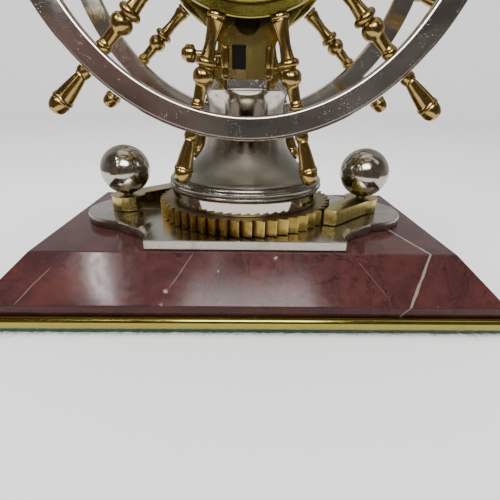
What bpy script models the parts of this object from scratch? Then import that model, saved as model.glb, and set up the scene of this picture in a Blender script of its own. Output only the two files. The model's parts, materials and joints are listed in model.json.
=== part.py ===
"""Skeleton clock carried by two ship's wheels on a ratchet capstan, over a marble base.

Metres, +Z up, front towards -Y, origin under the middle of the base.
Everything above the ratchet wheel turns on the post; the going train turns between the two plates.
"""

import math

import bmesh
import bpy
from mathutils import Matrix, Vector

MM = 0.001
GAP = 0.3 * MM

# base
FELT_SIZE = (247 * MM, 150.4 * MM)
FELT_TOP = 2.2 * MM
MARBLE_BOTTOM = FELT_TOP + GAP
MARBLE_BAND_TOP = 13.6 * MM
MARBLE_TOP = 32.3 * MM
MARBLE_LOW_SIZE = (243 * MM, 146.4 * MM)
MARBLE_TOP_SIZE = (206 * MM, 109.4 * MM)
MOULDING_HEIGHT = 6.6 * MM
MOULDING_DEPTH = 3.2 * MM

# deck plate: a straight waist with coved corners and a round lobe at each end
DECK_TOP = 37.5 * MM
DECK_BOTTOM = MARBLE_TOP + GAP
DECK_WAIST = (48.9 * MM, 52.6 * MM)
DECK_COVE_CENTRE = (70.5 * MM, 53.0 * MM)
DECK_COVE_RADIUS = 21.6 * MM
DECK_LOBE_X = 68.4 * MM
DECK_LOBE_RADIUS = 25 * MM
DECK_STEP = 3 * MM

# capstan
RATCHET_RADIUS = 50 * MM
RATCHET_ROOT = 46.6 * MM
RATCHET_TEETH = 50
RATCHET_BOTTOM = DECK_TOP + 0.5 * MM
RATCHET_TOP = DECK_TOP + 8.5 * MM
DRUM_TOP = DECK_TOP + 22 * MM
COLUMN_TOP = DECK_TOP + 71.3 * MM
NECK_BOTTOM = DECK_TOP + 66.5 * MM
POST_RADIUS = 6 * MM
POST_TOP = DECK_TOP + 34 * MM
POST_THREAD_RADIUS = 3.7 * MM
POST_THREAD_BOTTOM = POST_TOP - 8 * MM
FLANGE_RADIUS = 12 * MM
FLANGE_BOTTOM = MARBLE_TOP - 4.7 * MM
NUT_RADIUS = 9 * MM
NUT_BORE = 4.7 * MM
NUT_TOP = POST_TOP - 1 * MM
COLUMN_FOOT_RADIUS = 39.4 * MM
COLUMN_BORE = 13 * MM
COLUMN_CEILING = POST_TOP + 6 * MM
NECK_SIZE = (19 * MM, 39 * MM)

# pawls and the balls over their studs
PAWL_X = 70 * MM
PAWL_EYE_RADIUS = 9.8 * MM
PAWL_WIDTH = 11.7 * MM
PAWL_OFFSET = 7.86 * MM
PAWL_ANGLE = math.radians(42.9)
PAWL_TIP = (42.0 * MM, -28.4 * MM)
PAWL_HEEL = (48.2 * MM, -31.0 * MM)
PAWL_BOTTOM = DECK_TOP + 0.6 * MM
PAWL_TOP = DECK_TOP + 8.5 * MM
STUD_RADIUS = 2.7 * MM
BALL_RADIUS = 14 * MM
BALL_Z = PAWL_TOP + 0.4 * MM + BALL_RADIUS

# ship's wheels
WHEEL_Z = DECK_TOP + 144.2 * MM
WHEEL_Y = 34.4 * MM
RIM_OUTER = 100 * MM
RIM_INNER = 89 * MM
RIM_THICKNESS = 5 * MM
SPOKES = 12
SPOKE_TIP = 125 * MM
TENON_RADIUS = 1.5 * MM
HUB_OUTER = 50 * MM
HUB_INNER = 39 * MM
HUB_THICKNESS = 7 * MM

# movement plates and pillars
PLATE_FACE = 20 * MM
PLATE_THICKNESS = 3 * MM
PLATE_RADIUS = 48 * MM
FOOT_HALF_WIDTH = 11 * MM
FOOT_BOTTOM = COLUMN_TOP + GAP
SEAT_HALF = 17 * MM
SEAT_HEIGHT = 5 * MM
PILLAR_CIRCLE = 42.5 * MM
PILLAR_ANGLES = (90, 210, 330)
PILLAR_RADIUS = 2.5 * MM
PILLAR_SHOULDER = 3.4 * MM
PILLAR_WAIST = 2.4 * MM

# going train, seen from the front round the dial centre
ARBOR_RADIUS = 1 * MM
CENTRE_ARBOR_RADIUS = 1.5 * MM
BARREL_MODULE = 0.84 * MM
CENTRE_MODULE = 0.8 * MM
THIRD_MODULE = 0.64 * MM
BARREL_TEETH = 60
CENTRE_PINION = 10
CENTRE_TEETH = 48
THIRD_PINION = 8
THIRD_TEETH = 48
ESCAPE_PINION = 8
ESCAPE_TEETH = 15
ESCAPE_RADIUS = 9 * MM
CANNON_PINION = 10
MINUTE_TEETH = 30
MINUTE_PINION = 8
HOUR_TEETH = 32
BALANCE_RADIUS = 13 * MM

# back and front faces of each wheel and pinion, forward of the plane between the plates
ARBOR_ENDS = (-19.8 * MM, 19.8 * MM)
DRUM_FACES = (2 * MM, 14 * MM)
GREAT_WHEEL_FACES = (-1 * MM, 2.4 * MM)
CENTRE_WHEEL_FACES = (-5.5 * MM, -4 * MM)
CENTRE_PINION_FACES = (-1.6 * MM, 3 * MM)
THIRD_WHEEL_FACES = (-11.5 * MM, -10 * MM)
THIRD_PINION_FACES = (-6.3 * MM, -3.2 * MM)
ESCAPE_WHEEL_FACES = (-2.2 * MM, -1 * MM)
ESCAPE_PINION_FACES = (-12.3 * MM, -9.2 * MM)
CANNON_FACES = (PLATE_FACE + 1 * MM, PLATE_FACE + 4.5 * MM)
MINUTE_WHEEL_FACES = (PLATE_FACE + 2 * MM, PLATE_FACE + 3.5 * MM)
MINUTE_PINION_FACES = (PLATE_FACE + 3 * MM, PLATE_FACE + 9.5 * MM)
HOUR_WHEEL_FACES = (PLATE_FACE + 6.8 * MM, PLATE_FACE + 8.3 * MM)
BALANCE_FACES = (-26 * MM, -23.6 * MM)
COCK_FACES = (-29.4 * MM, -27 * MM)
BARREL_RADIUS = 22 * MM
BARREL_ARBOR_RADIUS = 2 * MM
BARREL_SQUARE_END = -29 * MM
BALANCE_STAFF_END = -29.3 * MM
HOUR_PIPE_RADIUS = 3 * MM

CENTRE = (0.0, 0.0)
BARREL = (0.0, -BARREL_MODULE * (BARREL_TEETH + CENTRE_PINION) / 2)
THIRD_REACH = CENTRE_MODULE * (CENTRE_TEETH + THIRD_PINION) / 2
THIRD_ANGLE = math.radians(130)
THIRD = (THIRD_REACH * math.cos(THIRD_ANGLE), THIRD_REACH * math.sin(THIRD_ANGLE))
ESCAPE_REACH = THIRD_MODULE * (THIRD_TEETH + ESCAPE_PINION) / 2
ESCAPE = (0.0, THIRD[1] + math.sqrt(ESCAPE_REACH**2 - THIRD[0] ** 2))
MINUTE = (0.0, BARREL_MODULE * (MINUTE_TEETH + CANNON_PINION) / 2)
PALLET = (12.3 * MM, 25.5 * MM)
BALANCE = (25 * MM, 21 * MM)
COCK_FOOT = (41.5 * MM, 4 * MM)

# dial and hands, as distances in front of the wheels' middle plane
CHAPTER_BACK = 38.3 * MM
CHAPTER_FRONT = 40 * MM
CHAPTER_RADII = (26 * MM, 44 * MM)
HOUR_HAND_BACK = 40.6 * MM
MINUTE_HAND_BACK = 42.3 * MM
HAND_THICKNESS = 1 * MM
HOUR_SHOWN = math.radians(305)
MINUTE_SHOWN = math.radians(60)


def new_collection(name):
    collection = bpy.data.collections.new(name)
    bpy.context.scene.collection.children.link(collection)
    return collection


def material(name, colour, metallic, roughness):
    made = bpy.data.materials.new(name)
    made.use_nodes = True
    shader = made.node_tree.nodes["Principled BSDF"]
    shader.inputs["Base Color"].default_value = (*colour, 1)
    shader.inputs["Metallic"].default_value = metallic
    shader.inputs["Roughness"].default_value = roughness
    return made


def add(name, mesh, colour):
    """A named object in the clock's collection, with its own material."""
    piece = bpy.data.objects.new(name, mesh)
    PARTS.objects.link(piece)
    mesh.materials.append(material(name, *colour))
    return piece


def cut(piece, tool, operation="DIFFERENCE"):
    """Cut the piece with a tool, or join the tool to it."""
    PARTS.objects.unlink(tool)
    TOOLS.objects.link(tool)
    tool.hide_render = True
    tool.display_type = "WIRE"
    modifier = piece.modifiers.new(tool.name, "BOOLEAN")
    modifier.object = tool
    modifier.operation = operation
    modifier.solver = "EXACT"


def join(piece, tool):
    cut(piece, tool, "UNION")


def box(name, size, centre, colour):
    mesh = bpy.data.meshes.new(name)
    shape = bmesh.new()
    bmesh.ops.create_cube(shape, size=1, matrix=Matrix.Diagonal((*size, 1)))
    shape.to_mesh(mesh)
    shape.free()
    piece = add(name, mesh, colour)
    piece.location = centre
    return piece


def turned(name, profile, segments, colour, ring=False):
    """A turned piece about Z: (radius, height) points down the outer side, closed on the axis or as a ring."""
    mesh = bpy.data.meshes.new(name)
    points = [(radius, 0, height) for radius, height in profile]
    edges = [(i, i + 1) for i in range(len(points) - 1)]
    if ring:
        edges.append((len(points) - 1, 0))
    mesh.from_pydata(points, edges, [])
    piece = add(name, mesh, colour)
    screw = piece.modifiers.new("turn", "SCREW")
    screw.axis = "Z"
    screw.steps = segments
    screw.render_steps = segments
    screw.use_merge_vertices = True
    screw.merge_threshold = 0.00001
    screw.use_smooth_shade = True
    return piece


def rod(name, radius, low, high, segments, colour):
    return turned(name, [(0, high), (radius, high), (radius, low), (0, low)], segments, colour)


def flat(name, outlines, low, high, colour):
    """A flat piece from closed outlines in XY, holes included, between two heights."""
    curve = bpy.data.curves.new(name, "CURVE")
    curve.dimensions = "2D"
    curve.fill_mode = "BOTH"
    curve.extrude = (high - low) / 2
    for outline in outlines:
        spline = curve.splines.new("POLY")
        spline.points.add(len(outline) - 1)
        for point, (x, y) in zip(spline.points, outline):
            point.co = (x, y, 0, 1)
        spline.use_cyclic_u = True
    sketch = bpy.data.objects.new(name, curve)
    bpy.context.scene.collection.objects.link(sketch)
    evaluated = sketch.evaluated_get(bpy.context.evaluated_depsgraph_get())
    mesh = bpy.data.meshes.new_from_object(evaluated)
    bpy.data.objects.remove(sketch)
    bpy.data.curves.remove(curve)
    shape = bmesh.new()
    shape.from_mesh(mesh)
    bmesh.ops.remove_doubles(shape, verts=shape.verts, dist=0.000001)
    bmesh.ops.translate(shape, verts=shape.verts, vec=(0, 0, (low + high) / 2))
    shape.to_mesh(mesh)
    shape.free()
    mesh.materials.clear()
    return add(name, mesh, colour)


def arc(centre, radius, start, end, steps):
    """Points along an arc, angles in degrees, both ends included."""
    angles = [math.radians(start + (end - start) * i / steps) for i in range(steps + 1)]
    return [(centre[0] + radius * math.cos(a), centre[1] + radius * math.sin(a)) for a in angles]


def circle(centre, radius, steps):
    return arc(centre, radius, 0, 360, steps)[:-1]


def gear(teeth, module, tooth_angle):
    """The outline of a toothed wheel with one tooth at the given angle."""
    pitch_radius = teeth * module / 2
    step = 2 * math.pi / teeth
    points = []
    for k in range(teeth):
        middle = tooth_angle + k * step
        for radius, offset in (
            (pitch_radius - 1.15 * module, -0.2),
            (pitch_radius + 0.75 * module, -0.09),
            (pitch_radius + 0.75 * module, 0.09),
            (pitch_radius - 1.15 * module, 0.2),
        ):
            angle = middle + offset * step
            points.append((radius * math.cos(angle), radius * math.sin(angle)))
    return points


def saw(teeth, tip, root, direction):
    """The outline of a ratchet or escape wheel: long ramps and steep faces."""
    step = 2 * math.pi / teeth
    points = []
    for k in range(teeth):
        start = direction * k * step
        for radius, turn in ((root, 0.06), (tip, 0.97)):
            angle = start + direction * turn * step
            points.append((radius * math.cos(angle), radius * math.sin(angle)))
    return points if direction > 0 else points[::-1]


def crossings(count, inner, outer, bar, start=0):
    """Windows between the arms of a wheel: ring sectors with parallel-sided arms between them."""
    windows = []
    for k in range(count):
        middle = start + 360 * (k + 0.5) / count
        half = 180 / count
        low = half - math.degrees(math.asin(bar / 2 / inner))
        high = half - math.degrees(math.asin(bar / 2 / outer))
        windows.append(
            arc((0, 0), outer, middle - high, middle + high, 6)
            + arc((0, 0), inner, middle + low, middle - low, 2)
        )
    return windows


def face_front(piece, centre=CENTRE):
    """Stand a piece made flat in XY so that it faces the front, at a place on the dial."""
    piece.rotation_euler = (math.pi / 2, 0, 0)
    piece.location = (centre[0], 0, WHEEL_Z + centre[1])


def mirrored(outline):
    return [(-x, y) for x, y in reversed(outline)]


# colour, metallic, roughness of each stock
MARBLE = ((0.27, 0.055, 0.04), 0.0, 0.15)
FELT = ((0.01, 0.07, 0.03), 0.0, 0.95)
BRASS = ((0.72, 0.50, 0.17), 1.0, 0.25)
AGED_BRASS = ((0.55, 0.34, 0.12), 1.0, 0.28)
NICKEL = ((0.62, 0.60, 0.57), 1.0, 0.18)
SATIN_NICKEL = ((0.50, 0.48, 0.44), 1.0, 0.35)
STEEL = ((0.42, 0.40, 0.38), 1.0, 0.2)
BLUED = ((0.03, 0.04, 0.10), 1.0, 0.25)
ENAMEL = ((0.85, 0.83, 0.76), 0.0, 0.25)


def build_base():
    felt_centre = (0, 0, FELT_TOP / 2)
    box("felt_pad", (*FELT_SIZE, FELT_TOP), felt_centre, FELT)
    build_marble()
    build_moulding()
    build_deck()
    build_post()


def build_marble():
    """A block with a low upright band and four long slopes, recessed on top for the post's flange."""
    mesh = bpy.data.meshes.new("marble_base")
    shape = bmesh.new()
    rings = []
    for size, z in (
        (MARBLE_LOW_SIZE, MARBLE_BOTTOM),
        (MARBLE_LOW_SIZE, MARBLE_BAND_TOP),
        (MARBLE_TOP_SIZE, MARBLE_TOP),
    ):
        corners = [(-1, -1), (1, -1), (1, 1), (-1, 1)]
        rings.append([shape.verts.new((sx * size[0] / 2, sy * size[1] / 2, z)) for sx, sy in corners])
    for lower, upper in zip(rings, rings[1:]):
        for i in range(4):
            shape.faces.new((lower[i], lower[i - 3], upper[i - 3], upper[i]))
    shape.faces.new(rings[0][::-1])
    shape.faces.new(rings[-1])
    shape.to_mesh(mesh)
    shape.free()
    marble = add("marble_base", mesh, MARBLE)
    cut(marble, rod("flange_recess", FLANGE_RADIUS + 0.5 * MM, FLANGE_BOTTOM - GAP, MARBLE_TOP + 5 * MM, 24, MARBLE))


def build_moulding():
    """A half-round brass frame, mitred at the corners, round the marble's band."""
    mesh = bpy.data.meshes.new("brass_moulding")
    shape = bmesh.new()
    steps = 6
    rings = []
    for i in range(steps + 1):
        angle = math.pi * (i / steps - 0.5)
        out = GAP + 0.4 * MM + (MOULDING_DEPTH - 0.4 * MM) * math.cos(angle)
        z = MARBLE_BOTTOM + MOULDING_HEIGHT * (0.5 + 0.5 * math.sin(angle))
        rings.append(corner_ring(shape, out, z))
    rings.append(corner_ring(shape, GAP, MARBLE_BOTTOM + MOULDING_HEIGHT))
    rings.append(corner_ring(shape, GAP, MARBLE_BOTTOM))
    for lower, upper in zip(rings, rings[1:] + rings[:1]):
        for i in range(4):
            shape.faces.new((lower[i], lower[i - 3], upper[i - 3], upper[i]))
    shape.to_mesh(mesh)
    shape.free()
    add("brass_moulding", mesh, BRASS)


def corner_ring(shape, out, z):
    half_x = MARBLE_LOW_SIZE[0] / 2 + out
    half_y = MARBLE_LOW_SIZE[1] / 2 + out
    corners = [(-half_x, -half_y), (half_x, -half_y), (half_x, half_y), (-half_x, half_y)]
    return [shape.verts.new((x, y, z)) for x, y in corners]


def deck_quarter():
    """The deck plate's outline in the back right quarter, from the lobe's end to the waist's edge."""
    lobe = (DECK_LOBE_X, 0)
    step_y = math.sqrt(DECK_LOBE_RADIUS**2 - DECK_STEP**2 / 4)
    points = arc(lobe, DECK_LOBE_RADIUS, 0, 86, 10)
    points.append((DECK_LOBE_X, step_y + DECK_STEP))
    cove_x, cove_y = DECK_COVE_CENTRE
    points += arc((cove_x, cove_y), DECK_COVE_RADIUS, 243, 180, 6)
    points.append(DECK_WAIST)
    return points


def build_deck():
    quarter = deck_quarter()
    half = quarter + mirrored(quarter)[:-1]
    outline = half + [(-x, -y) for x, y in half]
    studs = [circle((side * PAWL_X, 0), STUD_RADIUS + GAP, 12) for side in (-1, 1)]
    middle = circle((0, 0), POST_RADIUS + GAP, 20)
    flat("deck_plate", [outline, middle, *studs], DECK_BOTTOM, DECK_TOP, SATIN_NICKEL)


def build_post():
    """The fixed post that the capstan turns on, with its flange under the deck plate, and its nut."""
    profile = [
        (0, POST_TOP),
        (POST_THREAD_RADIUS, POST_TOP),
        (POST_THREAD_RADIUS, POST_THREAD_BOTTOM),
        (POST_RADIUS, POST_THREAD_BOTTOM),
        (POST_RADIUS, MARBLE_TOP),
        (FLANGE_RADIUS, MARBLE_TOP),
        (FLANGE_RADIUS, FLANGE_BOTTOM),
        (0, FLANGE_BOTTOM),
    ]
    turned("pivot_post", profile, 20, STEEL)
    ring = [
        (NUT_RADIUS, NUT_TOP),
        (NUT_RADIUS, POST_THREAD_BOTTOM + GAP),
        (NUT_BORE, POST_THREAD_BOTTOM + GAP),
        (NUT_BORE, NUT_TOP),
    ]
    turned("pivot_nut", ring, 6, STEEL, ring=True)


def pawl_outline():
    """The right pawl seen from above, round its stud at the origin."""
    along = Vector((-math.cos(PAWL_ANGLE), -math.sin(PAWL_ANGLE)))
    near = Vector((math.sin(PAWL_ANGLE), -math.cos(PAWL_ANGLE)))
    far_offset = PAWL_OFFSET - PAWL_WIDTH
    near_turn = math.degrees(math.acos(PAWL_OFFSET / PAWL_EYE_RADIUS))
    far_turn = math.degrees(math.acos(-far_offset / PAWL_EYE_RADIUS))
    near_angle = math.degrees(math.atan2(near.y, near.x))
    points = [(PAWL_TIP[0] - PAWL_X, PAWL_TIP[1]), (PAWL_HEEL[0] - PAWL_X, PAWL_HEEL[1])]
    points += arc((0, 0), PAWL_EYE_RADIUS, near_angle - near_turn, near_angle + 180 + far_turn, 12)
    clear = RATCHET_RADIUS + 0.7 * MM
    foot = Vector((PAWL_X, 0)) + near * far_offset
    reach = -foot.dot(along) - math.sqrt(clear**2 - (foot.length**2 - foot.dot(along) ** 2))
    meet = foot + along * reach
    start = math.degrees(math.atan2(meet.y, meet.x))
    end = math.degrees(math.atan2(PAWL_TIP[1], PAWL_TIP[0]))
    points += arc((-PAWL_X, 0), clear, start, end, 4)[:-1]
    return points


def build_pawls():
    outline = pawl_outline()
    eye = circle((0, 0), STUD_RADIUS + GAP, 12)
    for name, side in (("right", 1), ("left", -1)):
        pawl = flat("pawl_" + name, [outline, eye], PAWL_BOTTOM, PAWL_TOP, BRASS)
        pawl.location = (side * PAWL_X, 0, 0)
        pawl.rotation_euler = (0, 0, 0 if side > 0 else math.pi)
        ball = turned("ball_" + name, ball_profile(), 18, STEEL)
        ball.location = (side * PAWL_X, 0, 0)


def ball_profile():
    """A ball with the stud that the pawl swings on."""
    steps = 10
    stop = math.pi - math.asin(STUD_RADIUS / BALL_RADIUS)
    profile = []
    for i in range(steps + 1):
        angle = stop * i / steps
        profile.append((BALL_RADIUS * math.sin(angle), BALL_Z + BALL_RADIUS * math.cos(angle)))
    bottom = DECK_BOTTOM + 0.2 * MM
    return profile + [(STUD_RADIUS, bottom), (0, bottom)]


def build_capstan():
    bore = circle((0, 0), POST_RADIUS + GAP, 20)
    teeth = saw(RATCHET_TEETH, RATCHET_RADIUS, RATCHET_ROOT, 1)
    flat("ratchet_wheel", [teeth, bore], RATCHET_BOTTOM, RATCHET_TOP, BRASS)
    drum_bottom = RATCHET_TOP + GAP
    drum = [
        (41.2, 22.0),
        (41.8, 19.6),
        (43.6, 18.6),
        (43.9, 16.5),
        (43.2, 14.2),
        (42.5, 13.4),
    ]
    profile = [(r * MM, DECK_TOP + z * MM) for r, z in drum]
    profile += [(42.5 * MM, drum_bottom), (POST_RADIUS + GAP, drum_bottom), (POST_RADIUS + GAP, DRUM_TOP)]
    turned("capstan_drum", profile, 40, NICKEL, ring=True)
    build_column()


def build_column():
    """A flared column, hollow from below for the post's nut and slotted on top for the neck block."""
    outside = [
        (18.2, 71.3),
        (20.4, 70.1),
        (21.9, 68.4),
        (22.4, 66.0),
        (21.4, 62.4),
        (20.3, 57.0),
        (20.0, 50.0),
        (22.2, 41.3),
        (24.3, 35.8),
        (28.3, 30.7),
        (32.7, 26.4),
        (39.4, 23.6),
    ]
    profile = [(0, COLUMN_TOP)] + [(r * MM, DECK_TOP + z * MM) for r, z in outside]
    bottom = DRUM_TOP + GAP
    profile += [
        (COLUMN_FOOT_RADIUS, bottom),
        (COLUMN_BORE, bottom),
        (COLUMN_BORE, COLUMN_CEILING),
        (0, COLUMN_CEILING),
    ]
    column = turned("capstan_column", profile, 32, NICKEL)
    slot = (NECK_SIZE[0] + 2 * GAP, 60 * MM, 20 * MM)
    cut(column, box("neck_slot", slot, (0, 0, NECK_BOTTOM + slot[2] / 2), NICKEL))
    height = COLUMN_TOP - NECK_BOTTOM - GAP
    box("neck_block", (*NECK_SIZE, height), (0, 0, NECK_BOTTOM + GAP + height / 2), NICKEL)
    seat = (2 * SEAT_HALF, 2 * (PLATE_FACE - PLATE_THICKNESS - GAP), SEAT_HEIGHT)
    box("movement_seat", seat, (0, 0, FOOT_BOTTOM + SEAT_HEIGHT / 2), BRASS)


def rim_profile():
    """The section of a rim: a flat front with a chamfered inner edge and a lip round the outside."""
    half = RIM_THICKNESS / 2
    return [
        (RIM_OUTER - 1.2 * MM, half),
        (RIM_OUTER, half - 1.2 * MM),
        (RIM_OUTER, -half),
        (RIM_INNER + 1 * MM, -half),
        (RIM_INNER, -half + 1 * MM),
        (RIM_INNER, half - 1 * MM),
        (RIM_INNER + 1 * MM, half),
    ]


def spoke_profile():
    """One turned spoke from its handle's tip to the hub, thin where it passes through the rim."""
    outside = [
        (3.7, 123.4),
        (4.65, 118.0),
        (2.5, 104.0),
        (3.2, 100.4),
        (1.5, 100.4),
        (1.5, 88.6),
        (3.3, 88.6),
        (2.7, 79.0),
        (4.7, 75.0),
        (3.0, 72.0),
        (4.8, 69.0),
        (2.8, 66.0),
        (3.6, 50.5),
    ]
    profile = [(r * MM, s * MM) for r, s in outside]
    return [(0, SPOKE_TIP)] + profile + [(0, profile[-1][1])]


def build_wheel(name, side):
    """One ship's wheel: rim, hub ring and twelve spokes; side is -1 at the front and 1 at the back."""
    middle = (0, side * WHEEL_Y, WHEEL_Z)
    upright = (-side * math.pi / 2, 0, 0)
    rim = turned(name + "_rim", rim_profile(), 60, NICKEL, ring=True)
    rim.location = middle
    rim.rotation_euler = upright
    hub_half = HUB_THICKNESS / 2
    hub_profile = [
        (HUB_OUTER, hub_half),
        (HUB_OUTER, -hub_half),
        (HUB_INNER, -hub_half),
        (HUB_INNER, hub_half),
    ]
    hub = turned(name + "_hub", hub_profile, 40, BRASS, ring=True)
    hub.location = middle
    hub.rotation_euler = upright
    for k in range(SPOKES):
        angle = math.radians(15 + 360 * k / SPOKES)
        spoke = turned(f"{name}_spoke_{k + 1:02d}", spoke_profile(), 8, AGED_BRASS)
        spoke.location = middle
        spoke.rotation_euler = (0, angle, 0)
        hole = rod(f"{name}_hole_{k + 1:02d}", TENON_RADIUS + GAP, 80 * MM, 110 * MM, 8, NICKEL)
        hole.location = middle
        hole.rotation_euler = (0, angle, 0)
        cut(rim, hole)


def plate_outline():
    """A round plate with waisted legs down to a narrow foot."""
    foot = FOOT_BOTTOM - WHEEL_Z
    right = [
        (FOOT_HALF_WIDTH, foot),
        (FOOT_HALF_WIDTH, foot + 9 * MM),
        (14.5 * MM, foot + 17 * MM),
        (24 * MM, foot + 28 * MM),
    ]
    return right + arc((0, 0), PLATE_RADIUS, -52, 232, 44) + mirrored(right)


def plate_windows():
    """The openings that make the plate a skeleton, clear of every pivot."""
    windows = []
    for start, end in ((152, 203), (-23, 16)):
        windows.append(arc((0, 0), 37 * MM, start, end, 6) + arc((0, 0), 11 * MM, end, start, 3))
    for side in (-1, 1):
        low, high = (-72, -38) if side > 0 else (218, 252)
        windows.append(arc((0, 0), 38 * MM, low, high, 4) + arc((0, 0), 15 * MM, high, low, 2))
    windows.append(circle((0, -49 * MM), 6 * MM, 12))
    return windows


def build_plates():
    pivots = [THIRD, ESCAPE, PALLET, BALANCE]
    holes = [circle(place, ARBOR_RADIUS + GAP, 8) for place in pivots]
    holes.append(circle(CENTRE, CENTRE_ARBOR_RADIUS + GAP, 10))
    holes.append(circle(BARREL, BARREL_ARBOR_RADIUS + GAP, 10))
    pillars = [pillar_place(angle) for angle in PILLAR_ANGLES]
    holes += [circle(place, PILLAR_RADIUS + GAP, 10) for place in pillars]
    outlines = [plate_outline(), *plate_windows(), *holes]
    inner = PLATE_FACE - PLATE_THICKNESS
    minute_hole = circle(MINUTE, ARBOR_RADIUS + GAP, 8)
    face_front(flat("front_plate", outlines + [minute_hole], inner, PLATE_FACE, BRASS))
    face_front(flat("rear_plate", outlines, -PLATE_FACE, -inner, BRASS))
    for number, place in enumerate(pillars, 1):
        face_front(turned(f"pillar_{number}", pillar_profile(), 12, BRASS), place)


def pillar_place(angle):
    turn = math.radians(angle)
    return (PILLAR_CIRCLE * math.cos(turn), PILLAR_CIRCLE * math.sin(turn))


def pillar_profile():
    """A pillar from hub to hub, with a shoulder on each side of each plate and a slim waist."""
    end = WHEEL_Y - HUB_THICKNESS / 2 - GAP
    inner = PLATE_FACE - PLATE_THICKNESS - GAP
    outer = PLATE_FACE + GAP
    half = [
        (PILLAR_SHOULDER, end),
        (PILLAR_SHOULDER, outer),
        (PILLAR_RADIUS, outer),
        (PILLAR_RADIUS, inner),
        (PILLAR_SHOULDER, inner),
        (PILLAR_SHOULDER, inner - 3 * MM),
        (PILLAR_WAIST, inner - 5 * MM),
    ]
    return [(0, end)] + half + [(r, -z) for r, z in reversed(half)] + [(0, -end)]


def arbor(name, radius, back, front, colour):
    return rod(name, radius, back, front, 12, colour)


def wheel_on_arbor(name, wheel, pinion, spindle, place, colour):
    """A wheel, its pinion and their spindle as one piece, turning at a place on the dial."""
    piece = arbor(name, *spindle, colour)
    for part in (wheel, pinion):
        join(piece, part)
        face_front(part, place)
    face_front(piece, place)
    return piece


def angle_to(start, end):
    return math.atan2(end[1] - start[1], end[0] - start[0])


def build_barrel():
    teeth = gear(BARREL_TEETH, BARREL_MODULE, math.pi / 2)
    barrel = rod("barrel", BARREL_RADIUS, *DRUM_FACES, 36, BRASS)
    face_front(barrel, BARREL)
    great = flat("barrel_teeth", [teeth], *GREAT_WHEEL_FACES, BRASS)
    shaft = arbor("barrel_arbor", BARREL_ARBOR_RADIUS, BARREL_SQUARE_END, ARBOR_ENDS[1], STEEL)
    for part in (great, shaft):
        join(barrel, part)
        face_front(part, BARREL)


def build_centre():
    """Centre wheel, pinion and the arbor that carries the cannon pinion and the minute hand."""
    third_angle = angle_to(CENTRE, THIRD)
    outlines = [gear(CENTRE_TEETH, CENTRE_MODULE, third_angle)]
    outlines += crossings(5, 5 * MM, 15.6 * MM, 2 * MM)
    wheel = flat("centre_teeth", outlines, *CENTRE_WHEEL_FACES, BRASS)
    gap_angle = -math.pi / 2 + math.pi / CENTRE_PINION
    outline = gear(CENTRE_PINION, BARREL_MODULE, gap_angle)
    pinion = flat("centre_pinion", [outline], *CENTRE_PINION_FACES, STEEL)
    spindle = (CENTRE_ARBOR_RADIUS, ARBOR_ENDS[0], MINUTE_HAND_BACK + 2.2 * MM)
    centre = wheel_on_arbor("centre_wheel", wheel, pinion, spindle, CENTRE, BRASS)
    cannon_angle = math.pi / 2 + math.pi / CANNON_PINION
    outline = gear(CANNON_PINION, BARREL_MODULE, cannon_angle)
    cannon = flat("cannon_pinion", [outline], *CANNON_FACES, STEEL)
    join(centre, cannon)
    face_front(cannon)


def build_third():
    outlines = [gear(THIRD_TEETH, THIRD_MODULE, angle_to(THIRD, ESCAPE))]
    outlines += crossings(5, 4 * MM, 12.3 * MM, 1.8 * MM, start=20)
    wheel = flat("third_teeth", outlines, *THIRD_WHEEL_FACES, BRASS)
    gap_angle = angle_to(THIRD, CENTRE) + math.pi / THIRD_PINION
    outline = gear(THIRD_PINION, CENTRE_MODULE, gap_angle)
    pinion = flat("third_pinion", [outline], *THIRD_PINION_FACES, STEEL)
    spindle = (ARBOR_RADIUS, *ARBOR_ENDS)
    wheel_on_arbor("third_wheel", wheel, pinion, spindle, THIRD, BRASS)


def build_escape():
    outlines = [saw(ESCAPE_TEETH, ESCAPE_RADIUS, 6.6 * MM, 1)]
    outlines += crossings(4, 2.4 * MM, 5.4 * MM, 1.2 * MM)
    wheel = flat("escape_teeth", outlines, *ESCAPE_WHEEL_FACES, BRASS)
    gap_angle = angle_to(ESCAPE, THIRD) + math.pi / ESCAPE_PINION
    outline = gear(ESCAPE_PINION, THIRD_MODULE, gap_angle)
    pinion = flat("escape_pinion", [outline], *ESCAPE_PINION_FACES, STEEL)
    spindle = (ARBOR_RADIUS, *ARBOR_ENDS)
    wheel_on_arbor("escape_wheel", wheel, pinion, spindle, ESCAPE, BRASS)


def build_motion_work():
    """The minute wheel and the hour wheel, between the front plate and the dial."""
    outlines = [gear(MINUTE_TEETH, BARREL_MODULE, -math.pi / 2)]
    outlines += crossings(4, 4.6 * MM, 9.6 * MM, 1.8 * MM)
    wheel = flat("minute_teeth", outlines, *MINUTE_WHEEL_FACES, BRASS)
    gap_angle = -math.pi / 2 + math.pi / MINUTE_PINION
    outline = gear(MINUTE_PINION, BARREL_MODULE, gap_angle)
    pinion = flat("minute_pinion", [outline], *MINUTE_PINION_FACES, STEEL)
    spindle = (ARBOR_RADIUS, PLATE_FACE - PLATE_THICKNESS + GAP, MINUTE_PINION_FACES[1] + 1.5 * MM)
    wheel_on_arbor("minute_wheel", wheel, pinion, spindle, MINUTE, BRASS)
    bore = circle(CENTRE, CENTRE_ARBOR_RADIUS + GAP, 16)
    outlines = [gear(HOUR_TEETH, BARREL_MODULE, math.pi / 2), bore]
    outlines += crossings(4, 4.8 * MM, 10.4 * MM, 2 * MM)
    hour = flat("hour_wheel", outlines, *HOUR_WHEEL_FACES, BRASS)
    pipe_outlines = [circle(CENTRE, HOUR_PIPE_RADIUS, 16), bore]
    pipe_front = HOUR_HAND_BACK + HAND_THICKNESS
    pipe = flat("hour_pipe", pipe_outlines, HOUR_WHEEL_FACES[0], pipe_front, BRASS)
    face_front(hour)
    face_front(pipe)
    join(hour, pipe)


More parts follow.
